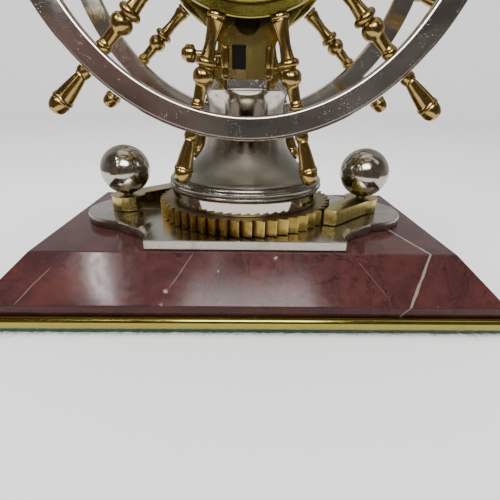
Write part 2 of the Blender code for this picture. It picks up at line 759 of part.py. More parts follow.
def turned_about(points, angle):
    """Points turned about the origin."""
    c, s = math.cos(angle), math.sin(angle)
    return [(x * c - y * s, x * s + y * c) for x, y in points]


def build_pallet():
    """The lever: an anchor hooked round the escape wheel, a boss on the arbor, and a fork to the balance."""
    wheel = (ESCAPE[0] - PALLET[0], ESCAPE[1] - PALLET[1])
    middle = math.degrees(angle_to(ESCAPE, PALLET))
    outer, inner = ESCAPE_RADIUS + 3.4 * MM, ESCAPE_RADIUS + 1 * MM
    anchor = arc(wheel, outer, middle - 62, middle + 62, 12) + arc(wheel, inner, middle + 62, middle - 62, 10)
    half = [(0, 1.2), (8, 0.9), (8.4, 2.2), (10.6, 2.2), (10.6, 1.1), (9.4, 1.1)]
    fork = [(x * MM, -y * MM) for x, y in half] + [(x * MM, y * MM) for x, y in reversed(half)]
    lever = arbor("pallet_lever", ARBOR_RADIUS, *ARBOR_ENDS, STEEL)
    for name, outline, low, high in (
        ("pallet_boss", circle(CENTRE, 2.6 * MM, 12), -2.6 * MM, -0.6 * MM),
        ("anchor", anchor, -2.4 * MM, -0.8 * MM),
        ("fork", turned_about(fork, angle_to(PALLET, BALANCE)), -2.2 * MM, -1 * MM),
    ):
        shape = flat(name, [outline], low, high, STEEL)
        join(lever, shape)
        face_front(shape, PALLET)
    face_front(lever, PALLET)


def build_balance():
    outlines = [circle(CENTRE, BALANCE_RADIUS, 32)]
    outlines += crossings(2, 2.6 * MM, 10.6 * MM, 2 * MM)
    wheel = flat("balance_rim", outlines, *BALANCE_FACES, BRASS)
    roller = flat("roller", [circle(CENTRE, 1.8 * MM, 12)], *ESCAPE_WHEEL_FACES, STEEL)
    spindle = (ARBOR_RADIUS, BALANCE_STAFF_END, ARBOR_ENDS[1])
    wheel_on_arbor("balance_wheel", wheel, roller, spindle, BALANCE, BRASS)
    build_cock()


def build_cock():
    """The bridge over the balance, standing on a foot screwed to the rear plate."""
    direction = math.degrees(angle_to(BALANCE, COCK_FOOT))
    outline = arc(CENTRE, 3.6 * MM, direction + 70, direction + 290, 10)
    foot = tuple(a - b for a, b in zip(COCK_FOOT, BALANCE))
    outline += arc(foot, 4.4 * MM, direction - 90, direction + 90, 8)
    hole = circle(CENTRE, ARBOR_RADIUS + GAP, 8)
    cock = flat("balance_cock", [outline, hole], *COCK_FACES, BRASS)
    leg = rod("cock_leg", 4 * MM, COCK_FACES[1] - 1.2 * MM, -PLATE_FACE - GAP, 12, BRASS)
    join(cock, leg)
    face_front(leg, COCK_FOOT)
    face_front(cock, BALANCE)


def hand_outline(length, width, eye):
    """A hand pointing to twelve: a round boss under a leaf-shaped blade."""
    blade = [
        (width * 0.3, eye + 2 * MM),
        (width * 0.5, length * 0.62),
        (width * 0.25, length * 0.72),
        (0.15 * MM, length),
    ]
    return arc(CENTRE, eye + 1.6 * MM, 110, 430, 18) + blade + mirrored(blade)


def build_dial():
    inner, outer = CHAPTER_RADII
    outlines = [circle(CENTRE, outer, 60), circle(CENTRE, inner, 48)]
    face_front(flat("chapter_ring", outlines, CHAPTER_BACK, CHAPTER_FRONT, ENAMEL))
    for name, length, width, eye, back, shown in (
        ("hour_hand", 26 * MM, 4.4 * MM, HOUR_PIPE_RADIUS, HOUR_HAND_BACK, HOUR_SHOWN),
        ("minute_hand", 37 * MM, 3.2 * MM, CENTRE_ARBOR_RADIUS, MINUTE_HAND_BACK, MINUTE_SHOWN),
    ):
        outline = turned_about(hand_outline(length, width, eye), -shown)
        hand = flat(name, [outline, circle(CENTRE, eye + GAP, 16)], back, back + HAND_THICKNESS, BLUED)
        face_front(hand)


for old in list(bpy.data.objects):
    bpy.data.objects.remove(old)
PARTS = new_collection("skeleton_clock")
TOOLS = new_collection("cutters")

build_base()
build_pawls()
build_capstan()
build_wheel("front", -1)
build_wheel("rear", 1)
build_plates()
build_barrel()
build_centre()
build_third()
build_escape()
build_motion_work()
build_pallet()
build_balance()
build_dial()
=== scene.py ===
import json
import math
import random
from math import cos, pi, radians, sin

import bmesh
import bpy
from mathutils import Matrix, Vector

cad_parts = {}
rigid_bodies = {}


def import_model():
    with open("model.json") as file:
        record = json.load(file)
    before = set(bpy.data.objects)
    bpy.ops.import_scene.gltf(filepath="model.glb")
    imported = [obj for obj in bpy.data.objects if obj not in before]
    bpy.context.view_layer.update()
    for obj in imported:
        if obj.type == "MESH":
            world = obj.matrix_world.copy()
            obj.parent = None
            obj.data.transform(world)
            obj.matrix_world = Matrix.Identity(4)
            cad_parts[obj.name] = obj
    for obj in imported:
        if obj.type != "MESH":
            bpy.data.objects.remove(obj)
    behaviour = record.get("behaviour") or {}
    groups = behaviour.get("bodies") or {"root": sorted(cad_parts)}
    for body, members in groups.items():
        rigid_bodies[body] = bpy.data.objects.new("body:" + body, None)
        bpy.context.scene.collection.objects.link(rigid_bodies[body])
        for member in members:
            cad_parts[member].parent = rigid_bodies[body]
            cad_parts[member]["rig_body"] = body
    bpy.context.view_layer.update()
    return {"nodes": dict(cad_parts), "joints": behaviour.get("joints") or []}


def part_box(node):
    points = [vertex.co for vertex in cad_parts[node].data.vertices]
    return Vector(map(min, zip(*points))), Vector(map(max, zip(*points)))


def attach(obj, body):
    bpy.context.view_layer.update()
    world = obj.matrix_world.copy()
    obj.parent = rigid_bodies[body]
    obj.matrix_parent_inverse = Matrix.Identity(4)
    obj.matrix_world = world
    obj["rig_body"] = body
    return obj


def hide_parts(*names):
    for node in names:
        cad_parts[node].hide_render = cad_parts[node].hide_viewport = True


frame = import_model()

MM = 0.001
BROAD_FACE = 25 * MM**2  # a face larger than this is flat
PIVOT_HOLE = 6.3 * MM  # radius of the hole that the post stands in
SPOKES = 12  # in each ship's wheel
CORNERS = ((-1, -1), (1, -1), (1, 1), (-1, 1))
NODES = frame["nodes"]

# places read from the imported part
DECK_LOW, DECK_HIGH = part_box("deck_plate")
MARBLE_LOW, MARBLE_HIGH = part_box("marble_base")
RIM_LOW, RIM_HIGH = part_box("front_rim")
DECK_TOP = DECK_HIGH.z
BAND_TOP = MARBLE_LOW.z + 11.1 * MM
WHEEL_Z = (RIM_LOW.z + RIM_HIGH.z) / 2
WHEEL_Y = -(RIM_LOW.y + RIM_HIGH.y) / 2


# ---- materials


class Shader:
    """A node material built by short calls; each returns the socket it makes."""

    def __init__(self, name):
        self.material = bpy.data.materials.new(name)
        self.material.use_nodes = True
        self.tree = self.material.node_tree
        self.surface = self.tree.nodes["Principled BSDF"]
        self.place = self.new("TexCoord").outputs["Object"]

    def feed(self, socket, value):
        """Link a socket, or set its constant; a colour is given without its alpha."""
        if isinstance(value, bpy.types.NodeSocket):
            self.tree.links.new(value, socket)
        elif value is not None:
            socket.default_value = (*value, 1) if socket.type == "RGBA" else value

    def feed_all(self, node, values):
        for name, value in values.items():
            self.feed(node.inputs[name.replace("_", " ")], value)

    def new(self, kind, settings=(), **inputs):
        node = self.tree.nodes.new("ShaderNode" + kind)
        for name, value in settings:
            setattr(node, name, value)
        self.feed_all(node, inputs)
        return node

    def set(self, **values):
        """Feed the surface's own inputs, and return the material."""
        self.feed_all(self.surface, values)
        return self.material

    def scaled(self, scale):
        return self.new("Mapping", Vector=self.place, Scale=scale).outputs[0]

    def noise(self, scale, detail=4.0, roughness=0.55, distortion=0.0, at=None):
        node = self.new("TexNoise", Vector=at or self.place, Scale=scale, Detail=detail)
        self.feed_all(node, {"Roughness": roughness, "Distortion": distortion})
        return node.outputs["Fac"]

    def cells(self, scale, feature="F1"):
        settings = [("feature", feature)]
        return self.new("TexVoronoi", settings, Vector=self.place, Scale=scale).outputs["Distance"]

    def sums(self, operation, *values):
        node = self.new("Math", [("operation", operation)])
        for socket, value in zip(node.inputs, values):
            self.feed(socket, value)
        return node.outputs[0]

    def times(self, a, b):
        return self.sums("MULTIPLY", a, b)

    def plus(self, a, b):
        return self.sums("ADD", a, b)

    def minus(self, a, b):
        return self.sums("SUBTRACT", a, b)

    def absolute(self, a):
        return self.sums("ABSOLUTE", a)

    def vector(self, operation, *values):
        node = self.new("VectorMath", [("operation", operation)])
        for socket, value in zip(node.inputs, values):
            self.feed(socket, value)
        number = operation in ("LENGTH", "DISTANCE", "DOT_PRODUCT")
        return node.outputs["Value" if number else "Vector"]

    def axes(self):
        """The X, Y and Z of a point of the surface."""
        return self.new("SeparateXYZ", Vector=self.place).outputs

    def spread(self, value, low, high, to_low=0.0, to_high=1.0):
        """Map a value's stretch from low to high onto another, clamped and smooth."""
        ends = {"From_Min": low, "From_Max": high, "To_Min": to_low, "To_Max": to_high}
        settings = [("interpolation_type", "SMOOTHSTEP")]
        return self.new("MapRange", settings, Value=value, **ends).outputs[0]

    def mix(self, share, first, second):
        node = self.new("Mix", [("data_type", "RGBA")], Factor=share)
        colours = [socket for socket in node.inputs if socket.type == "RGBA"]
        self.feed(colours[0], first)
        self.feed(colours[1], second)
        return next(socket for socket in node.outputs if socket.type == "RGBA")

    def bump(self, height, depth, strength=1.0):
        """Relief of a depth in metres, on top of what earlier calls gave."""
        node = self.new("Bump", Strength=strength, Distance=depth, Height=height)
        normal = self.surface.inputs["Normal"]
        if normal.links:
            self.feed(node.inputs["Normal"], normal.links[0].from_socket)
        self.feed(normal, node.outputs[0])


def metal(name, clean, tarnish, gloss, cloud_from, pits=0, scratches=0.3, specks=0, grain=(1, 1, 1)):
    """A metal whose tarnish, pits and fine scratches change its colour, gloss and relief."""
    s = Shader(name)
    cloud = s.noise(55, 6, 0.6, 0.6)
    film = s.spread(cloud, cloud_from, cloud_from + 0.22)
    colour = s.mix(film, clean, tarnish)
    fine = s.noise(900, 3, 0.6, at=s.scaled(grain))
    uneven = s.sums("MULTIPLY_ADD", cloud, 0.7, s.times(fine, 0.4))
    rough = s.spread(uneven, 0.35, 0.85, *gloss)
    if specks:
        speck = s.times(s.spread(s.cells(900), 0.26, 0.12), s.spread(s.noise(75, 4), 0.5, 0.7))
        colour = s.mix(s.times(speck, specks), colour, (0.8, 0.78, 0.75))
        rough = s.plus(rough, s.times(speck, 0.45))
    if pits:
        dots = s.spread(s.cells(1100), 0.2, 0.1)
        patch = s.spread(s.noise(120, 3), 0.62 - pits * 0.3, 0.72)
        pit = s.times(dots, patch)
        colour = s.mix(s.times(pit, 0.75), colour, tuple(c * 0.25 for c in tarnish))
        rough = s.plus(rough, s.times(pit, 0.3))
        s.bump(s.minus(1.0, pit), 0.04 * MM)
    s.bump(fine, 0.006 * MM * scratches / 0.3, 0.5)
    s.bump(s.noise(160, 2), 0.012 * MM, 0.4)
    return s.set(Base_Color=colour, Roughness=rough, Metallic=1.0)


def column_metal():
    """Nickel, bright at the column's neck, dull, greenish and stained towards its foot, with a painted
    dark reflection in an arch on its front.
    """
    s = Shader("column_nickel")
    x, y, z = s.axes()
    cloud = s.noise(60, 6, 0.6, 0.8)
    height = s.sums("MULTIPLY_ADD", s.minus(cloud, 0.5), 12 * MM, z)
    bright = s.spread(height, DECK_TOP + 27 * MM, DECK_TOP + 47 * MM)
    dull = s.mix(s.spread(cloud, 0.4, 0.65), (0.29, 0.28, 0.24), (0.215, 0.215, 0.175))
    clean = s.mix(s.spread(cloud, 0.5, 0.72), (0.51, 0.475, 0.42), (0.4, 0.37, 0.32))
    colour = s.mix(bright, dull, clean)
    runs = s.noise(55, 4, 0.6, at=s.scaled((4, 4, 0.5)))
    colour = s.mix(s.times(s.spread(runs, 0.55, 0.75), 0.35), colour, (0.26, 0.24, 0.19))
    # painted reflection: a dark arch on the front of the column, where it mirrors the person in front
    # of it
    over = s.sums("MAXIMUM", s.minus(z, DECK_TOP + 52 * MM), 0.0)
    reach = s.sums("SQRT", s.sums("MULTIPLY_ADD", x, x, s.times(over, over)))
    painted_dark_reflection = s.spread(s.sums("MULTIPLY_ADD", cloud, 1.5 * MM, reach), 12.8 * MM, 11.4 * MM)
    painted_dark_reflection = s.times(painted_dark_reflection, s.spread(z, DECK_TOP + 29 * MM, DECK_TOP + 40 * MM))
    painted_dark_reflection = s.times(painted_dark_reflection, s.spread(y, -2 * MM, -8 * MM, 0.0, 0.72))
    colour = s.mix(painted_dark_reflection, colour, (0.15, 0.12, 0.09))
    dots = s.times(s.spread(s.cells(700), 0.22, 0.12), s.spread(s.noise(130, 3), 0.56, 0.66))
    colour = s.mix(s.times(dots, 0.7), colour, (0.07, 0.065, 0.045))
    gloss = s.plus(s.spread(bright, 0.0, 1.0, 0.34, 0.1), s.times(cloud, 0.08))
    s.bump(s.minus(1.0, dots), 0.03 * MM)
    return s.set(Base_Color=colour, Roughness=gloss, Metallic=1.0)


def tooth_brass():
    """Golden brass with painted shade in the gaps of the ratchet's teeth, and rubbed, paler tips."""
    s = Shader("tooth_brass")
    out = s.vector("LENGTH", s.vector("MULTIPLY", s.place, (1, 1, 0)))
    cloud = s.noise(160, 5, 0.6)
    brushed = s.noise(500, 4, 0.6, at=s.scaled((1, 1, 0.15)))
    clean = s.mix(s.spread(cloud, 0.42, 0.66), (0.4, 0.285, 0.07), (0.27, 0.185, 0.045))
    clean = s.mix(s.times(s.spread(brushed, 0.5, 0.7), 0.35), clean, (0.2, 0.135, 0.035))
    # painted shade: the colour darkens towards the roots of the teeth, where shade falls in the gaps
    depth = s.sums("MULTIPLY_ADD", s.minus(cloud, 0.5), 0.8 * MM, out)
    colour = s.mix(s.spread(depth, 48.1 * MM, 46.7 * MM, 0.0, 0.88), clean, (0.045, 0.03, 0.012))
    rubbed = s.spread(out, 49.6 * MM, 49.95 * MM, 0.0, 0.6)
    colour = s.mix(rubbed, colour, (0.62, 0.5, 0.24))
    s.bump(brushed, 0.02 * MM)
    return s.set(Base_Color=colour, Roughness=s.spread(cloud, 0.3, 0.7, 0.24, 0.4), Metallic=1.0)


def stone():
    """Polished red marble: mottled ground, black seams, pale calcite veins and flecks, and painted
    shade on its upright band.
    """
    s = Shader("red_marble")
    ground = s.noise(38, 8, 0.62, 1.6)
    colour = s.mix(s.spread(ground, 0.3, 0.7), (0.035, 0.0135, 0.0135), (0.069, 0.0215, 0.0195))
    rust = s.spread(s.noise(22, 4, 0.5, 0.8), 0.55, 0.75)
    colour = s.mix(s.times(rust, 0.45), colour, (0.092, 0.027, 0.02))
    speck = s.spread(s.noise(900, 2), 0.6, 0.72)
    colour = s.mix(s.times(speck, 0.09), colour, (0.26, 0.12, 0.1))
    cloud = s.spread(s.noise(26, 6, 0.7, 1.2), 0.6, 0.74)
    colour = s.mix(s.times(cloud, 0.7), colour, (0.036, 0.018, 0.02))
    for scale, width, strength in ((30, 0.013, 0.85), (62, 0.014, 0.7), (110, 0.016, 0.45)):
        ridge = s.absolute(s.minus(s.noise(scale, 7, 0.62, 1.1), 0.5))
        where = s.spread(s.noise(scale * 0.6, 2), 0.44, 0.54)
        seam = s.times(s.spread(ridge, width, 0.0), where)
        colour = s.mix(s.times(seam, strength), colour, (0.014, 0.008, 0.01))
    hair = s.absolute(s.minus(s.noise(19, 5, 0.55, 0.8), 0.47))
    thin = s.times(s.spread(hair, 0.0035, 0.0), s.spread(s.noise(17, 2), 0.56, 0.66))
    colour = s.mix(s.times(thin, 0.4), colour, (0.26, 0.19, 0.17))
    dark, pale = (0.008, 0.005, 0.006), (0.2, 0.165, 0.135)
    for *sheet, is_pale in STREAKS:
        colour = s.mix(streak(s, *sheet), colour, pale if is_pale else dark)
    for point, radius in FLECKS:
        away = s.vector("DISTANCE", s.place, point)
        ragged = s.sums("MULTIPLY_ADD", s.noise(1300, 3, 0.6), 3.4 * MM, away)
        fleck = s.spread(ragged, radius + 1.65 * MM, radius + 1.35 * MM)
        colour = s.mix(fleck, colour, (0.22, 0.195, 0.17))
    # painted shade: the upright band below the slopes is darker
    band_painted_shade = s.spread(s.axes()[2], BAND_TOP + 0.2 * MM, BAND_TOP - 0.3 * MM, 0.0, 0.55)
    colour = s.mix(band_painted_shade, colour, (0.02, 0.003, 0.002))
    s.bump(s.spread(s.cells(620), 0.1, 0.16), 0.05 * MM, 0.08)
    s.bump(s.noise(30, 4), 0.12 * MM, 0.25)
    gloss = s.spread(s.noise(300, 5), 0.3, 0.75, 0.12, 0.22)
    s.set(Base_Color=colour, Roughness=gloss, Coat_Weight=0.08, Coat_Roughness=0.06)
    return s.set(Specular_IOR_Level=0.21)


def at(x, y, z):
    """A place on the marble, in millimetres from the deck plate's top."""
    return (x * MM, y * MM, DECK_TOP + z * MM)


# sheets of calcite and cracks through the block: a point, a direction across it, its width
# and reach in millimetres, and whether it is pale
STREAKS = (
    (at(86, -50, -8), (0.711, 0.17, -0.682), 0.5, 60, True),
    (at(-97.5, -66.5, -17.5), (-0.804, 0.418, 0.423), 0.15, 12, True),
    (at(-30, -61, -12), (0.62, -0.74, 0.2), 0.13, 11, True),
    (at(-15.5, -65, -15), (0.905, -0.21, -0.36), 0.22, 12, False),
    (at(-12.4, -66, -17), (0.995, 0.0, -0.08), 0.16, 9, False),
    (at(96, -64, -14), (0.9, 0.3, -0.3), 0.08, 14, False),
    (at(60, -64, -14), (0.8, 0.3, 0.5), 0.05, 12, True),
    (at(-60, 40, -8), (0.6, 0.75, 0.2), 0.6, 45, True),
    (at(30, 64, -12), (0.85, -0.4, 0.3), 0.45, 30, True),
    (at(112, 20, -15), (0.2, 0.95, -0.2), 0.45, 25, True),
)
FLECKS = (
    (at(14.6, -56.4, -6.9), 1.0 * MM),
    (at(-36.6, -68.2, -18.8), 1.2 * MM),
    (at(88.7, -72.7, -23.4), 0.4 * MM),
    (at(-12.9, -61.2, -11.8), 0.6 * MM),
    (at(-38.2, -72.6, -23.2), 0.7 * MM),
)


def streak(s, point, normal, width, reach):
    """How strongly a sheet through the stone shows: a wavering plane that fades at its reach."""
    offset = s.vector("SUBTRACT", s.place, point)
    across = s.vector("DOT_PRODUCT", offset, Vector(normal).normalized())
    wave = s.times(s.minus(s.noise(60, 6, 0.6), 0.5), 1.7 * MM)
    edge = s.times(s.spread(s.noise(110, 3), 0.3, 0.7, 0.55, 1.15), width * MM)
    line = s.spread(s.minus(s.absolute(s.plus(across, wave)), edge), 0.12 * MM, -0.12 * MM)
    return s.times(line, s.spread(s.vector("LENGTH", offset), reach * MM, reach * MM * 0.7))


def felt_cloth():
    s = Shader("green_felt")
    tuft = s.noise(2200, 4, 0.7)
    s.bump(tuft, 0.4 * MM)
    colour = s.mix(tuft, (0.001, 0.019, 0.009), (0.007, 0.068, 0.031))
    return s.set(Base_Color=colour, Roughness=0.95, Sheen_Weight=0.6, Sheen_Roughness=0.5)


def enamel():
    """Creamy white, finely crazed."""
    s = Shader("white_enamel")
    cloud = s.noise(70, 5)
    s.bump(cloud, 0.1 * MM, 0.3)
    craze = s.spread(s.cells(130, "DISTANCE_TO_EDGE"), 0.0, 0.004, 1.0, 0.0)
    colour = s.mix(s.spread(cloud, 0.4, 0.7), (0.8, 0.78, 0.71), (0.72, 0.69, 0.6))
    colour = s.mix(s.times(craze, 0.18), colour, (0.3, 0.24, 0.18))
    gloss = s.spread(s.noise(400, 3), 0.3, 0.7, 0.1, 0.22)
    return s.set(Base_Color=colour, Roughness=gloss, Coat_Weight=0.4)


def ink():
    s = Shader("black_enamel")
    s.bump(s.noise(800), 0.01 * MM)
    colour = s.mix(s.noise(500), (0.01, 0.009, 0.01), (0.03, 0.027, 0.027))
    return s.set(Base_Color=colour, Roughness=0.25)


def opening_shade():
    """Painted shade: a near-black panel for the unlit inside of an opening."""
    s = Shader("opening_painted_shade")
    colour = s.mix(s.noise(300), (0.006, 0.005, 0.004), (0.014, 0.012, 0.01))
    return s.set(Base_Color=colour, Roughness=0.95, Specular_IOR_Level=0.05)


def ruby():
    s = Shader("ruby_jewel")
    s.bump(s.noise(700), 0.01 * MM)
    colour = s.mix(s.noise(900), (0.35, 0.01, 0.05), (0.6, 0.03, 0.1))
    return s.set(Base_Color=colour, Roughness=0.05, Coat_Weight=1.0)


MARBLE = stone()
FELT = felt_cloth()
ENAMEL = enamel()
INK = ink()
OPENING_SHADE = opening_shade()
RUBY = ruby()

# bright and tarnished colour, roughness from and to, how thick the cloud is where tarnish starts,
# then how far pits, scratches and pale specks show, and the stretch of the grain
GOLD_BRASS = metal("polished_brass", (0.31, 0.27, 0.055), (0.235, 0.2, 0.044), (0.12, 0.26), 0.56)
PLATE_BRASS = metal("plate_brass", (0.6, 0.485, 0.16), (0.4, 0.3, 0.1), (0.13, 0.28), 0.5, 0.2)
BAR_BRASS = metal("bar_brass", (0.47, 0.38, 0.12), (0.33, 0.255, 0.085), (0.18, 0.32), 0.5, 0.3, 0.8)
AGED_BRASS = metal("aged_brass", (0.345, 0.24, 0.08), (0.19, 0.13, 0.044), (0.14, 0.26), 0.48, 0.25)
FACE_BRASS = metal(
    "ratchet_face", (0.235, 0.175, 0.07), (0.175, 0.125, 0.052), (0.3, 0.46), 0.46, 0.3, 1.4
)
TOOTH_BRASS = tooth_brass()
NICKEL = metal(
    "polished_nickel", (0.58, 0.55, 0.51), (0.42, 0.38, 0.34), (0.07, 0.22), 0.54, 0.5, specks=0.22
)
DRUM_NICKEL = metal(
    "drum_nickel", (0.5, 0.465, 0.4), (0.44, 0.4, 0.35), (0.03, 0.1), 0.56, 0.4, specks=0.3
)
DULL_NICKEL = metal("dull_nickel", (0.27, 0.255, 0.22), (0.19, 0.18, 0.15), (0.2, 0.36), 0.46, 0, 0.8)
EDGE_NICKEL = metal(
    "edge_nickel", (0.4, 0.375, 0.33), (0.3, 0.28, 0.24), (0.22, 0.4), 0.46, 0.2, 0.8, 0, (0.1, 0.1, 1)
)
DECK_NICKEL = metal(
    "satin_nickel", (0.52, 0.49, 0.44), (0.42, 0.39, 0.34), (0.18, 0.3), 0.5, 0.2, 1, 0, (0.05, 1, 1)
)
COLUMN_NICKEL = column_metal()
STEEL = metal("ball_steel", (0.42, 0.39, 0.335), (0.31, 0.28, 0.235), (0.06, 0.24), 0.5, 0.3, 0.6)
TOOL_STEEL = metal(
    "tool_steel", (0.45, 0.44, 0.43), (0.33, 0.31, 0.29), (0.16, 0.3), 0.5, grain=(1, 1, 0.1)
)
BLUED = metal("blued_steel", (0.03, 0.05, 0.19), (0.05, 0.03, 0.1), (0.1, 0.22), 0.5)


# ---- shapes


def add(name, data):
    """A new object in the scene."""
    thing = bpy.data.objects.new(name, data)
    bpy.context.scene.collection.objects.link(thing)
    return thing


def mesh_of(thing):
    """The plain mesh of an object, with what its modifiers or curve settings make."""
    seen = thing.evaluated_get(bpy.context.evaluated_depsgraph_get())
    return bpy.data.meshes.new_from_object(seen)


def finish_mesh(name, shape, material, smooth_under=38):
    """Turn a bmesh into an object with its normals out, smooth where it bends gently."""
    bmesh.ops.recalc_face_normals(shape, faces=shape.faces)
    mesh = bpy.data.meshes.new(name)
    shape.to_mesh(mesh)
    shape.free()
    mesh.materials.append(material)
    mesh.shade_smooth()
    mesh.set_sharp_from_angle(angle=radians(smooth_under))
    for polygon in mesh.polygons:
        if polygon.area > BROAD_FACE:
            polygon.use_smooth = False
    return add(name, mesh)


def paint(piece, material, chosen):
    """A further material on the polygons that a test picks."""
    materials = piece.data.materials
    materials.append(material)
    for polygon in piece.data.polygons:
        if chosen(polygon):
            polygon.material_index = len(materials) - 1


def skin(shape, rings, ring=False):
    """Quads between neighbouring rings of vertices; a ring of them joins the last to the first."""
    for lower, upper in zip(rings, rings[1:] + rings[:ring]):
        for k in range(len(lower)):
            shape.faces.new((lower[k - 1], lower[k], upper[k], upper[k - 1]))


def closed_skin(shape, rings):
    """The same, with a face over each end."""
    skin(shape, rings)
    shape.faces.new(rings[0][::-1])
    shape.faces.new(rings[-1])


def lofted(name, loops, material, smooth_under, ring=False):
    """A mesh through loops of points: closed at both ends, or back on itself."""
    shape = bmesh.new()
    rings = [[shape.verts.new(spot) for spot in loop] for loop in loops]
    if ring:
        skin(shape, rings, ring)
    else:
        closed_skin(shape, rings)
    return finish_mesh(name, shape, material, smooth_under)


def turns(count, whole=2 * pi):
    """The angles of so many equal steps of a turn."""
    return [whole * k / count for k in range(count)]


def lathe(name, profile, segments, material, ring=False, smooth_under=38, up=0.0):
    """A turned piece about Z from (radius, height) points in millimetres above a level.

    A ring joins its last point to its first.
    """
    shape = bmesh.new()
    loops = []
    for radius, height in profile:
        r, z = radius * MM, up + height * MM
        if r < 1e-7:
            loops.append([shape.verts.new((0, 0, z))] * segments)
            continue
        spots = [(r * cos(t), r * sin(t), z) for t in turns(segments)]
        loops.append([shape.verts.new(spot) for spot in spots])
    for upper, lower in zip(loops, loops[1:] + loops[:ring]):
        for k in range(segments):
            corners = [upper[k], lower[k], lower[k - 1], upper[k - 1]]
            corners = [v for i, v in enumerate(corners) if v not in corners[:i]]
            if len(corners) > 2:
                shape.faces.new(corners)
    return finish_mesh(name, shape, material, smooth_under)


def arc(centre, radius, start, end, steps):
    """Points along an arc, angles in degrees, both ends included."""
    angles = [radians(start + (end - start) * i / steps) for i in range(steps + 1)]
    return [(centre[0] + radius * cos(t), centre[1] + radius * sin(t)) for t in angles]


def circle(centre, radius, steps=48):
    return arc(centre, radius, 0, 360, steps)[:-1]


def plate(name, outlines, low, high, bevel, material, rounds=2):
    """A flat piece from closed outlines in XY with softened edges, between two heights."""
    curve = bpy.data.curves.new(name, "CURVE")
    curve.dimensions = "2D"
    curve.fill_mode = "BOTH"
    curve.extrude = (high - low) / 2 - bevel
    curve.bevel_depth = bevel
    curve.bevel_resolution = rounds
    curve.offset = -bevel
    for outline in outlines:
        spline = curve.splines.new("POLY")
        spline.points.add(len(outline) - 1)
        for point, (x, y) in zip(spline.points, outline):
            point.co = (x, y, 0, 1)
        spline.use_cyclic_u = True
    sketch = add(name, curve)
    mesh = mesh_of(sketch)
    bpy.data.objects.remove(sketch)
    bpy.data.curves.remove(curve)
    shape = bmesh.new()
    shape.from_mesh(mesh)
    bpy.data.meshes.remove(mesh)
    bmesh.ops.remove_doubles(shape, verts=shape.verts, dist=0.004 * MM)
    bmesh.ops.translate(shape, verts=shape.verts, vec=(0, 0, (low + high) / 2))
    return finish_mesh(name, shape, material, 28)


def tapered(name, levels, ease, segments, material):
    """A four-sided block from (half width, half depth, height) levels, with eased arrises."""
    shape = bmesh.new()
    rings = [[shape.verts.new((sx * x, sy * y, z)) for sx, sy in CORNERS] for x, y, z in levels]
    closed_skin(shape, rings)
    bmesh.ops.bevel(
        shape, geom=shape.edges[:], offset=ease, segments=segments, profile=0.5, affect="EDGES"
    )
    return finish_mesh(name, shape, material, 30)


def softened(node, width, material):
    """A copy of a CAD node with its edges rounded, which stands for that node."""
    shape = bmesh.new()
    shape.from_mesh(NODES[node].data)
    bmesh.ops.remove_doubles(shape, verts=shape.verts, dist=0.002 * MM)
    flat, bent = radians(2), radians(40)
    bmesh.ops.dissolve_limit(shape, angle_limit=flat, verts=shape.verts, edges=shape.edges)
    sharp = [e for e in shape.edges if len(e.link_faces) == 2 and e.calc_face_angle() > bent]
    bmesh.ops.bevel(
        shape, geom=sharp, offset=width, segments=2, profile=0.6, affect="EDGES", clamp_overlap=True
    )
    return stand_in(finish_mesh(node + "_finished", shape, material, 32), node)


def stand_in(piece, *nodes):
    """The piece rides with, and replaces, CAD nodes."""
    body = NODES[nodes[0]]["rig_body"]
    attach(piece, body)
    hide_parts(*nodes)
    return piece


def trim(piece, body="capstan"):
    """An extra piece that no CAD node has."""
    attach(piece, body)
    return piece


def spin(angle, axis):
    """A rotation by degrees about an axis."""
    return Matrix.Rotation(radians(angle), 4, axis)


def face_front(piece, x=0.0, z=0.0, y=0.0):
    """Stand a piece made flat in XY facing the front, at a place round the dial's centre."""
    piece.matrix_world = Matrix.Translation((x, y, WHEEL_Z + z)) @ spin(90, "X")
    return piece


def face_back(piece, x=0.0, z=0.0, y=0.0):
    """The same, facing the back."""
    piece.matrix_world = Matrix.Translation((x, y, WHEEL_Z + z)) @ spin(180, "Z") @ spin(90, "X")
    return piece


SIDES = (("front", -1, face_front), ("rear", 1, face_back))


# ---- base


def build_marble():
    """The sloped block: an upright band, then four slopes up to the flat top."""
    foot = MARBLE_HIGH.x, MARBLE_HIGH.y
    levels = ((*foot, MARBLE_LOW.z), (*foot, BAND_TOP), (103 * MM, 54.7 * MM, MARBLE_HIGH.z))
    stand_in(tapered("marble_block", levels, 0.45 * MM, 3, MARBLE), "marble_base")


def build_moulding():
    """Half-round brass, mitred at the corners, with a thin fillet above and below."""
    low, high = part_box("brass_moulding")
    gap, fillet, steps = 0.15 * MM, 0.1, 14
    inner_x, inner_y = MARBLE_HIGH.x + gap, MARBLE_HIGH.y + gap
    reach = high.x - inner_x
    height = high.z - low.z
    section = [(0, 0), (0.45, 0), (0.55, fillet)]
    for x, y in arc((0, 0), 1, -90, 90, steps):
        section.append((0.52 + 0.48 * x, 0.5 + 0.4 * y))
    section += [(0.55, 1 - fillet), (0.45, 1), (0, 1)]
    loops = []
    for out, rise in section:
        x, y, z = inner_x + out * reach, inner_y + out * reach, low.z + rise * height
        loops.append([(sx * x, sy * y, z) for sx, sy in CORNERS])
    stand_in(lofted("half_round_moulding", loops, GOLD_BRASS, 30, True), "brass_moulding")


